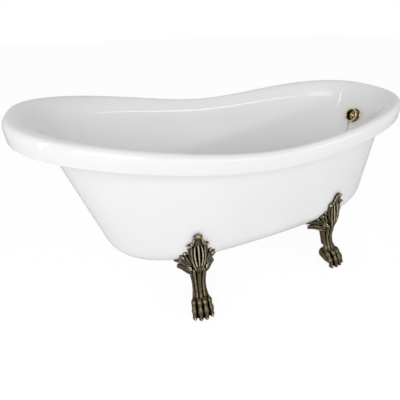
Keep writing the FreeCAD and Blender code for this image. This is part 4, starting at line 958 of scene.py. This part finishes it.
@dataclass
class ClawFoot:
    """One cast foot: palmette, side leaves, scrolls, wings, leg, paw and the tongue behind."""

    form: BathForm
    side: Side
    place: float
    splay: float
    seat_height: float = 0.300
    seat_clearance: float = 0.0004
    voxel: float = 0.0016

    # Rods in the foot's own frame, in millimetres: across, out, up, half width, half depth
    middle_rods: tuple[Rod, ...] = (
        # Blade of the palmette, its spine and its rolled tip
        Rod(((0, -2, 196, 14, 15), (0, 2, 230, 20, 14), (0, 4, 262, 23, 13), (0, 3, 296, 23, 11),
             (0, 4, 328, 21, 9), (0, 5, 356, 16, 8))),
        Rod(((0, 19, 190, 5, 6), (0, 23, 206, 9, 7), (0, 24, 222, 11, 6), (0, 23, 234, 8, 5))),
        Rod(((0, 22, 214, 3.2, 5), (0, 26, 246, 4.4, 6), (0, 23, 282, 4.4, 5.5), (0, 16, 308, 3.4, 4),
             (0, 11, 322, 2, 2.6))),
        Rod(((-10, 13, 360, 8, 8.5), (0, 17, 366, 9.5, 10), (10, 13, 360, 8, 8.5))),
        # Core of the leg, its middle tendon and the sole
        Rod(((0, -8, 204, 34, 21), (0, -4, 172, 29, 20), (0, 2, 128, 22, 16), (0, 15, 92, 22, 16),
             (0, 28, 64, 27, 20))),
        Rod(((0, 15, 198, 9, 8), (0, 15, 170, 8.6, 8), (0, 19, 128, 7.6, 8), (0, 31, 94, 7.8, 8),
             (0, 46, 72, 9, 9))),
        Rod(((0, 18, 27, 34, 30), (0, 44, 28, 41, 32), (0, 66, 22, 38, 25), (0, 78, 13, 34, 16))),
    )
    paired_rods: tuple[Rod, ...] = (
        # Ribs that fan out over the blade
        Rod(((4, 20, 206, 3.2, 5), (11, 25, 240, 4.4, 6.5), (15, 21, 274, 4.4, 6), (14.5, 15, 300, 3.4, 4.5),
             (12, 11, 314, 2, 2.6))),
        # Rolled edge of the blade's bare tip
        Rod(((19, 9, 318, 4, 4.5), (17, 10, 338, 4.4, 5), (12, 12, 354, 5, 5.5))),
        # Outer ribs, which curl over the blade's shoulders
        Rod(((4, 19, 188, 4.2, 5), (14, 21, 216, 4.6, 6.5), (22.5, 18, 250, 5, 6.5),
             (25, 12, 286, 5.4, 6.5), (25, 8, 312, 6, 6.5), (23, 9, 324, 7, 7))),
        # Side leaves, each stepped down from the last, with a rolled tip
        Rod(((12, 12, 206, 6, 7), (24, 10, 244, 6.5, 7), (31, 4, 280, 7.5, 7), (31, 4, 314, 8.5, 8))),
        Rod(((28, 9, 319, 7.5, 8.5), (36, 9, 318, 7.5, 8.5))),
        Rod(((22, 6, 208, 6.5, 7), (36, 1, 240, 6.5, 7), (46, -4, 264, 7, 7), (49, -3, 276, 8.5, 8))),
        Rod(((26, 2, 204, 7, 8), (43, -6, 230, 7, 8), (55, -10, 250, 8, 7), (61, -9, 258, 10, 9))),
        Rod(((57, -4, 258, 7.5, 8), (64, -10, 262, 7.5, 8))),
        Rod(((28, -2, 200, 8, 9), (46, -14, 216, 8, 9), (59, -20, 230, 8, 8), (65, -20, 236, 9, 9))),
        # Filling between the leaves, set back so that the gaps between them stay dark
        Rod(((14, 2, 214, 16, 10), (28, -6, 236, 15, 9), (38, -14, 256, 10, 8))),
        Rod(((22, -12, 208, 14, 12), (40, -22, 216, 14, 10), (54, -32, 226, 11, 8))),
        # Wings that run back under the bath, an upper and a lower pair of lobes
        Rod(((26, -2, 206, 9, 9), (44, -20, 204, 12, 10), (62, -46, 196, 13, 8), (80, -68, 187, 9, 7))),
        Rod(((36, -4, 214, 5.5, 6.5), (54, -26, 212, 6.5, 7), (72, -52, 200, 6, 6), (84, -66, 192, 6, 6))),
        Rod(((24, -4, 178, 11, 12), (38, -14, 180, 12, 10), (54, -34, 178, 13, 9), (70, -56, 168, 9, 7))),
        Rod(((26, 2, 168, 6, 7), (42, -10, 170, 6, 7), (60, -34, 170, 6, 6), (74, -54, 163, 6, 6))),
        Rod(((24, -8, 192, 14, 13), (44, -28, 192, 15, 9), (60, -48, 184, 12, 7))),
        # Outer tendons, from the leaves to the toes
        Rod(((31, -5, 190, 8.5, 10), (26, -4, 160, 9, 10), (21, 3, 124, 8.6, 10), (20.5, 16, 92, 8.8, 10),
             (24, 32, 68, 10, 11))),
        Rod(((19, 11, 196, 6.8, 8), (17, 11, 166, 6.6, 8), (14, 14, 126, 6.2, 8), (13.5, 27, 93, 6.4, 8),
             (16, 42, 70, 8, 9))),
        Rod(((32, -20, 186, 9, 10), (26, -17, 156, 9, 10), (20, -9, 122, 8, 9), (19, 4, 90, 9, 10))),
        # Toes with two knuckles each, and their claws
        Rod(((9.8, 42, 70, 9, 9), (10.2, 60, 63, 11.4, 11.5), (10.8, 72, 51, 8.6, 9),
             (11.2, 82, 37, 11.8, 12), (11.4, 90, 23, 8.8, 9), (11.6, 93, 9.5, 10, 10.5))),
        Rod(((24, 34, 64, 9, 9), (31, 50, 58, 12, 11.5), (32.5, 62, 47, 9, 9),
             (34, 72, 35, 12, 12), (34.5, 80, 22, 9, 9), (35, 84, 9.5, 10, 10.5))),
        Rod(((11.6, 98, 14, 5, 5), (11.7, 102, 8, 4, 4), (11.7, 101, 4, 2.4, 2.4))),
        Rod(((35.3, 90, 14, 5, 5), (35.6, 95, 8, 4, 4), (35.6, 94, 4, 2.4, 2.4))),
    )
    # The volute at a wing's root, in millimetres and degrees, with what each step takes off or adds
    scroll_centre: tuple[float, float, float] = (34.0, 6.0, 206.0)
    scroll_facing: tuple[float, float, float] = (1.0, 0.75, 0.0)
    scroll_radius: float = 13.0
    scroll_wire: float = 4.6
    scroll_steps: int = 13
    scroll_start: float = 100.0
    scroll_turn: float = 45.0
    scroll_rise: float = 0.25
    scroll_radius_share: float = 0.062
    scroll_wire_share: float = 0.03
    soft_share: float = 0.5
    soft_rounds: int = 2
    seat_rounds: int = 4
    seat_probe: float = 0.0005
    # Half width, reach, low face and high face
    tongue: tuple[float, float, float, float] = (0.028, 0.084, 0.160, 0.172)
    # Place across, place back, radius, and heights between which the tool reaches
    bolt: tuple[float, ...] = (0.014, 0.052, 0.00508, 0.150, 0.180)
    # Half width, reach and height
    rail: tuple[float, float, float] = (0.0303, 0.2503, 0.040)
    leveller: float = 0.052
    # Radius and depth of the leveller's recess and of its stud's hole
    leveller_holes: tuple[tuple[float, float], ...] = ((0.0165, 0.007), (0.00408, 0.041))
    overrun: float = 0.005
    bolt_sides: int = 24
    leveller_sides: int = 32

    @property
    def placement(self) -> Matrix:
        """From the foot's own frame, toes along +Y, to the bath's."""
        depth = float(self.form.skin_depth(np.array(self.place), np.array(self.seat_height)))
        return Matrix.Translation((self.place, -depth, 0.0)) @ Matrix.Rotation(self.splay, 4, "Z")

    def placed(self, point: Vector) -> Vector:
        """Takes a point in millimetres in the foot's frame to the bath."""
        return self.placement @ (point * MM)

    def scroll(self, bm: bmesh.types.BMesh, hand: int) -> None:
        """Adds the volute at the root of a wing: a wire that winds in one and a half turns.

        Args:
            bm: The bmesh.
            hand: The side of the foot.
        """
        centre = Vector(self.scroll_centre)
        facing = Vector(self.scroll_facing).normalized()
        level = UP.cross(facing)
        stations = []
        for step in range(self.scroll_steps):
            angle = math.radians(self.scroll_start + step * self.scroll_turn)
            reach = self.scroll_radius * (1 - self.scroll_radius_share * step)
            place = centre + (level * math.cos(angle) + UP * math.sin(angle)) * reach
            wire = self.scroll_wire * (1 - self.scroll_wire_share * step)
            stations.append((*(place + facing * (self.scroll_rise * step)), wire, wire))
        Rod(tuple(stations), steps=3, sides=10).build(bm, self.placed, hand)

    def clay(self) -> bpy.types.Object:
        """All the limbs, run together into one skin.

        Returns:
            The rough casting.
        """
        bm = bmesh.new()
        for rod in self.middle_rods:
            rod.build(bm, self.placed)
        for hand in (-1, 1):
            for rod in self.paired_rods:
                rod.build(bm, self.placed, hand)
            self.scroll(bm, hand)
        width, reach, low, high = self.tongue
        block = Matrix.Translation((0.0, -reach / 2, (low + high) / 2)) @ Matrix.Diagonal(
            (2 * width, reach, high - low, 1.0))
        bmesh.ops.create_cube(bm, size=1.0, matrix=self.placement @ block)
        bmesh.ops.recalc_face_normals(bm, faces=bm.faces)
        piece = finish_object(f"casting_{self.side.value}", bm)
        remesh = piece.modifiers.new("cast", "REMESH")
        remesh.mode = "VOXEL"
        remesh.voxel_size = self.voxel
        soften = piece.modifiers.new("soften", "SMOOTH")
        soften.factor = self.soft_share
        soften.iterations = self.soft_rounds
        flattened(piece)
        return piece

    def seated(self, piece: bpy.types.Object) -> None:
        """Moves whatever would stand inside the skin, or under the floor, to its surface.

        Args:
            piece: The rough casting.
        """
        places = np.empty(len(piece.data.vertices) * 3)
        piece.data.vertices.foreach_get("co", places)
        places = places.reshape(-1, 3)
        step = self.seat_probe
        offset = self.seat_clearance
        for _ in range(self.seat_rounds):
            x, y, z = places.T
            depth = self.form.skin_depth(x, z, offset)
            inside = np.clip(depth + y, 0.0, None) * (z > self.form.clearance - offset)
            slope_x = (self.form.skin_depth(x + step, z, offset)
                       - self.form.skin_depth(x - step, z, offset)) / (2 * step)
            slope_z = (self.form.skin_depth(x, z + step, offset) - depth) / step
            size = 1 + slope_x ** 2 + slope_z ** 2
            places -= np.column_stack((slope_x, np.ones_like(x), slope_z)) * (inside / size)[:, None]
        places[:, 2] = np.clip(places[:, 2], 0.0, None)
        piece.data.vertices.foreach_set("co", places.ravel())
        piece.data.update()

    def cutters(self) -> list[bpy.types.Object]:
        """Tools for the rail's notch, the bolt holes and the leveller's holes.

        Returns:
            The tools.
        """
        across, back, radius, low, high = self.bolt
        tools = [cylinder(f"bolt_hole_{hand}", radius, self.placement @ Vector((hand * across, -back, low)),
                          self.placement @ Vector((hand * across, -back, high)), self.bolt_sides)
                 for hand in (-1, 1)]
        sole = Vector((0.0, self.leveller, -self.overrun))
        for number, (radius, depth) in enumerate(self.leveller_holes):
            top = self.placement @ (sole + UP * (depth + self.overrun))
            tools.append(cylinder(f"leveller_hole_{number}", radius, self.placement @ sole, top,
                                  self.leveller_sides))
        half_width, reach, height = self.rail
        middle = self.placement @ Vector((0.0, -back, 0.0))
        place = Vector((middle.x, -reach / 2, self.tongue[3] + height / 2))
        tools.append(box("rail_notch", Matrix.Translation(place), (2 * half_width, reach, height)))
        return tools

    def build(self) -> bpy.types.Object:
        """Makes the front foot.

        Returns:
            The finished casting.
        """
        piece = self.clay()
        self.seated(piece)
        carve(piece, self.cutters())
        piece.data.polygons.foreach_set("use_smooth", [True] * len(piece.data.polygons))
        return piece

    def mirrored(self, front: bpy.types.Object) -> bpy.types.Object:
        """Makes the back foot, the front one's mirror image.

        Args:
            front: The finished front foot.

        Returns:
            The back foot.
        """
        bm = bmesh.new()
        bm.from_mesh(front.data)
        bmesh.ops.scale(bm, vec=(1.0, -1.0, 1.0), verts=bm.verts)
        bmesh.ops.reverse_faces(bm, faces=bm.faces)
        return finish_object(f"casting_back_{self.side.value}", bm)

    def add(self, materials: Materials) -> None:
        """Builds and dresses the front foot and the back one.

        Args:
            materials: One material for each slot.
        """
        front = self.build()
        back = self.mirrored(front)
        dress(front, materials, Slot.CASTING, "root", f"foot_front_{self.side.value}")
        dress(back, materials, Slot.CASTING, "root", f"foot_back_{self.side.value}")


@dataclass
class OverflowFace:
    """The overflow's turned face with its grid and its stay ring."""

    wall: Wall
    # Radius and height over the wall, in millimetres, round the section
    outline: tuple[tuple[float, float], ...] = (
        (22.0, 0.0), (34.3, 0.0), (35.0, 0.9), (35.0, 3.0), (34.4, 4.3), (33.0, 5.0), (31.4, 5.6),
        (30.7, 7.2), (30.4, 11.0), (30.3, 16.0), (30.5, 21.0), (31.2, 23.6), (32.6, 25.0), (33.5, 26.6),
        (33.6, 28.4), (33.0, 30.0), (31.6, 30.9), (29.8, 31.0), (28.0, 30.4), (26.6, 29.0), (25.8, 27.0),
        (25.3, 24.0), (25.0, 10.0), (24.4, 8.8), (23.4, 8.5), (3.2, 8.5), (3.2, 6.0), (22.0, 6.0),
    )
    turn_steps: int = 96
    hole_circle: float = 0.015
    hole_radius: float = 0.004
    hole_reach: tuple[float, float] = (0.004, 0.012)
    hole_sides: int = 24
    holes: int = 6
    stay_place: tuple[float, float, float] = (-0.034, 0.0, 0.022)
    stay_radius: float = 0.0045
    stay_wire: float = 0.0015
    stay_sides: int = 12
    stay_steps: int = 36

    def turned(self, name: str, points: Sequence[Vector], centre: Vector, axis: Vector,
               steps: int) -> bpy.types.Object:
        """Turns a closed outline once round an axis and sets it on the wall.

        Args:
            name: The object's name.
            points: The outline.
            centre: A point on the axis.
            axis: The axis.
            steps: Steps of the full turn.

        Returns:
            The turned piece.
        """
        bm = bmesh.new()
        verts = [bm.verts.new(point) for point in points]
        edges = [bm.edges.new(pair) for pair in zip(verts, verts[1:] + verts[:1])]
        bmesh.ops.spin(bm, geom=verts + edges, cent=centre, axis=axis, angle=math.tau, steps=steps,
                       use_merge=True)
        bmesh.ops.remove_doubles(bm, verts=bm.verts, dist=WELD)
        bmesh.ops.recalc_face_normals(bm, faces=bm.faces)
        bmesh.ops.transform(bm, matrix=self.wall.placement, verts=bm.verts)
        return finish_object(name, bm)

    def build(self) -> bpy.types.Object:
        """Makes the face.

        Returns:
            The finished face.
        """
        placement = self.wall.placement
        outline = [Vector((radius, 0.0, height)) * MM for radius, height in self.outline]
        piece = self.turned("overflow_ring", outline, Vector(), UP, self.turn_steps)
        low, high = self.hole_reach
        tools = []
        for number in range(self.holes):
            angle = math.tau * number / self.holes
            middle = Vector((math.cos(angle), math.sin(angle), 0.0)) * self.hole_circle
            tools.append(cylinder(f"grid_hole_{number}", self.hole_radius, placement @ (middle + UP * low),
                                  placement @ (middle + UP * high), self.hole_sides))
        carve(piece, tools)
        centre = Vector(self.stay_place)
        section = []
        for step in range(self.stay_sides):
            angle = math.tau * step / self.stay_sides
            reach = self.stay_radius + self.stay_wire * math.cos(angle)
            section.append(centre + ALONG * reach + ACROSS * (self.stay_wire * math.sin(angle)))
        stay = self.turned("stay", section, centre, ACROSS, self.stay_steps)
        bm = bmesh.new()
        bm.from_mesh(piece.data)
        bm.from_mesh(stay.data)
        bm.to_mesh(piece.data)
        bm.free()
        bpy.data.objects.remove(stay)
        piece.data.polygons.foreach_set("use_smooth", [True] * len(piece.data.polygons))
        return piece

    def add(self, materials: Materials) -> None:
        """Builds and dresses the face."""
        dress(self.build(), materials, Slot.TRIM, "root", "overflow_face")


@dataclass
class BallChain:
    """The plug's chain: round beads on short pins, from the clip to the plug's loop."""

    form: BathForm
    wall: Wall
    bead: float = 0.0022
    pitch: float = 0.006
    pin: float = 0.0007
    gap: float = 0.0012
    ease: float = 0.030
    # Top and edge of the waste flange, which the chain lies on, and the height of the plug's loop
    flange_top: float = 0.2123
    flange_edge: float = 0.515
    end_height: float = 0.2220
    corner_steps: int = 6
    line_steps: int = 24
    bead_sides: int = 12
    bead_rings: int = 8
    pin_sides: int = 6

    def route(self) -> list[Vector]:
        """The chain's line: down to the wall, along it, round the corner and over the floor.

        Returns:
            The line's points, from the clip to the plug's loop.
        """
        low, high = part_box("plug_chain")
        start = Vector((high.x - self.bead, 0.0, high.z - self.bead))
        end = Vector((low.x + self.bead, 0.0, self.end_height))
        stand = self.bead + self.gap
        floor = self.form.tub_floor
        corner = self.form.tub_corner
        slope = self.wall.slope

        def wall_line(height: float) -> float:
            """Where the chain lies on the wall at a height."""
            return self.form.tub_line(1, height) - stand * math.hypot(1, slope)

        landing = floor + (start.x - wall_line(floor)) / slope
        points = [start, Vector((start.x, 0.0, landing + self.ease))]
        points += [Vector((wall_line(height), 0.0, height))
                   for height in (landing - self.ease, (landing + floor + corner) / 2, floor + corner)]
        for step in range(1, self.corner_steps + 1):
            angle = math.pi / 2 * (1 - step / self.corner_steps)
            height = floor + stand + (corner - stand) * (1 - math.cos(angle))
            points.append(Vector((wall_line(height) - corner * (1 - math.sin(angle)), 0.0, height)))
        over = self.flange_top + stand
        points.append(Vector((self.flange_edge + stand, 0.0, over)))
        points.append(Vector(((end.x + points[-1].x) / 2, 0.0, (end.z + over) / 2)))
        return points + [end]

    def beads(self) -> list[Vector]:
        """Bead centres at one pitch along the route.

        Returns:
            The centres.
        """
        rows = tuple((*point, 0.0, 0.0) for point in self.route())
        line = Rod(rows, steps=self.line_steps).line()[:, :3]
        run = np.concatenate(([0.0], np.cumsum(np.linalg.norm(np.diff(line, axis=0), axis=1))))
        count = round(run[-1] / self.pitch)
        steps = np.linspace(0.0, run[-1], count)
        places = np.column_stack([np.interp(steps, run, line[:, axis]) for axis in range(3)])
        return [Vector(place) for place in places]

    def build(self) -> bpy.types.Object:
        """Makes the chain.

        Returns:
            The chain.
        """
        bm = bmesh.new()
        centres = self.beads()
        for centre in centres:
            bmesh.ops.create_uvsphere(bm, u_segments=self.bead_sides, v_segments=self.bead_rings,
                                      radius=self.bead, matrix=Matrix.Translation(centre))
        for first, second in zip(centres, centres[1:]):
            run = second - first
            turn = UP.rotation_difference(run).to_matrix().to_4x4()
            middle = Matrix.Translation((first + second) / 2)
            bmesh.ops.create_cone(bm, cap_ends=True, segments=self.pin_sides, radius1=self.pin,
                                  radius2=self.pin, depth=run.length, matrix=middle @ turn)
        return finish_object("ball_chain", bm)

    def add(self, materials: Materials) -> None:
        """Builds the chain, whose ends lie at the clip and the plug's loop, gives it its material and hides
        the CAD chain.

        Args:
            materials: One material for each slot.
        """
        chain = self.build()
        chain.data.materials.append(materials[Slot.TRIM])
        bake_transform(chain)
        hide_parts("plug_chain")
        log.info("%s: %d faces", chain.name, len(chain.data.polygons))


@dataclass(frozen=True)
class Lamp:
    """One soft rectangular lamp: its place, its length and width, its watts and what it looks at."""

    name: str
    place: tuple[float, float, float]
    size: tuple[float, float]
    power: float
    aim: tuple[float, float, float] = (0.0, 0.0, 0.45)

    def hang(self) -> None:
        """Hangs the lamp."""
        data = bpy.data.lights.new(self.name, "AREA")
        data.shape = "RECTANGLE"
        data.size, data.size_y = self.size
        data.energy = self.power
        lamp = link_object(self.name, data)
        lamp.location = self.place
        direction = Vector(self.aim) - Vector(self.place)
        lamp.rotation_euler = direction.to_track_quat("-Z", "Y").to_euler()


@dataclass
class Studio:
    """Camera, floor, backdrop and lamps."""

    image: int = 400
    focal_px: float = 297.81
    centre_px: tuple[float, float] = (212.0, 180.0)
    sensor_mm: float = 36.0
    # Where the photograph's camera stood and which way it looked, as fitted
    eye: tuple[float, float, float] = (-0.5656, -1.0852, 1.0788)
    forward: tuple[float, float, float] = (0.3482, 0.7943, -0.4979)
    floor_size: float = 24.0
    floor_colour: str = "#F2F2F2"
    shadow_share: float = 0.12
    floor_glow: float = 1.05
    horizon: float = 0.60
    zenith: float = 0.42
    lamps: tuple[Lamp, ...] = (
        Lamp("front_softbox", (-1.2, -4.2, 1.6), (3.6, 2.6), 12.0),
        Lamp("well_softbox", (-1.5, -2.8, 2.4), (2.4, 1.8), 30.0),
        # Strips that streak the back wall of the tub and its drain end
        Lamp("back_wall_strip", (1.7, -3.0, 1.75), (3.2, 0.17), 16.0, (0.1, 0.3, 0.65)),
        Lamp("end_wall_strip", (-3.2, -0.85, 1.9), (0.20, 2.6), 14.0, (0.7, 0.1, 0.6)),
    )

    def camera(self) -> None:
        """Makes the camera at the photograph's angle."""
        data = bpy.data.cameras.new("camera")
        data.sensor_width = self.sensor_mm
        data.lens = self.focal_px / self.image * self.sensor_mm
        data.shift_x = (self.image / 2 - self.centre_px[0]) / self.image
        data.shift_y = (self.centre_px[1] - self.image / 2) / self.image
        camera = link_object("camera", data)
        camera.location = self.eye
        camera.rotation_euler = Vector(self.forward).to_track_quat("-Z", "Y").to_euler()
        bpy.context.scene.camera = camera

    def floor(self) -> None:
        """Lays a white floor that keeps a faint shadow."""
        bm = bmesh.new()
        bmesh.ops.create_grid(bm, x_segments=1, y_segments=1, size=self.floor_size / 2)
        plane = finish_object("floor", bm, smooth=False)
        made = bare_material("matt_studio_floor")
        tree = made.node_tree
        paint = add_node(tree, "ShaderNodeBsdfDiffuse", values={"Color": linear(self.floor_colour)})
        glow = add_node(tree, "ShaderNodeEmission", values={"Strength": self.floor_glow})
        seen = add_node(tree, "ShaderNodeLightPath").outputs["Is Camera Ray"]
        share = add_node(tree, "ShaderNodeMath", {"operation": "MULTIPLY"}, {1: 1 - self.shadow_share},
                         {0: seen})
        both = add_node(tree, "ShaderNodeMixShader", links={0: share, 1: paint, 2: glow})
        add_node(tree, "ShaderNodeOutputMaterial", links={"Surface": both})
        plane.data.materials.append(made)

    def world(self) -> None:
        """Makes the white surroundings and their even light."""
        world = bpy.data.worlds.new("studio")
        world.use_nodes = True
        tree = world.node_tree
        tree.nodes.clear()
        place = add_node(tree, "ShaderNodeTexCoord").outputs["Generated"]
        height = add_node(tree, "ShaderNodeSeparateXYZ", links={0: place}).outputs["Z"]
        daylight = add_node(tree, "ShaderNodeMapRange",
                            values={"To Min": self.horizon, "To Max": self.zenith},
                            links={"Value": height})
        seen = add_node(tree, "ShaderNodeLightPath").outputs["Is Camera Ray"]
        strength = add_node(tree, "ShaderNodeMix", values={"B": 1.0},
                            links={"Factor": seen, "A": daylight})
        sky = add_node(tree, "ShaderNodeBackground", values={"Color": linear("#FFFFFF")},
                       links={"Strength": strength})
        add_node(tree, "ShaderNodeOutputWorld", links={"Surface": sky})
        bpy.context.scene.world = world

    def build(self) -> None:
        """Makes the whole studio."""
        self.camera()
        self.floor()
        self.world()
        for lamp in self.lamps:
            lamp.hang()


@dataclass
class CadPieces:
    """The pieces whose CAD shape stays."""

    slots: dict[str, Slot]

    def add(self, materials: Materials) -> None:
        """Gives every CAD node the material of its slot.

        Args:
            materials: One material for each slot.
        """
        for name, node in frame["nodes"].items():
            made = materials[self.slots[name]]
            if node.material_slots:
                for holder in node.material_slots:
                    holder.material = made
            else:
                node.data.materials.append(made)
            log.info("%s: %s", name, made.name)


# Where each front foot stands along the bath, and its turn round the upright in degrees
FOOT_PLACES = {Side.LEFT: (-0.275, 171.0), Side.RIGHT: (0.395, 189.0)}


def main() -> None:
    """Builds the studio and the bath's looks, and reports each piece."""
    bpy.context.scene.view_settings.view_transform = "Standard"
    Studio().build()
    materials = {slot: finish.material() for slot, finish in FINISHES.items()}
    form = BathForm()
    wall = Wall(form)
    slots = {part["node"]: Slot(part["material_slot"]) for part in frame["record"]["subparts"]}
    feet = [ClawFoot(form, side, place, math.radians(turn)) for side, (place, turn) in FOOT_PLACES.items()]
    for assembly in (CadPieces(slots), BathShells(form, wall), *feet, OverflowFace(wall),
                     BallChain(form, wall)):
        assembly.add(materials)


if __name__ == "__main__":
    main()
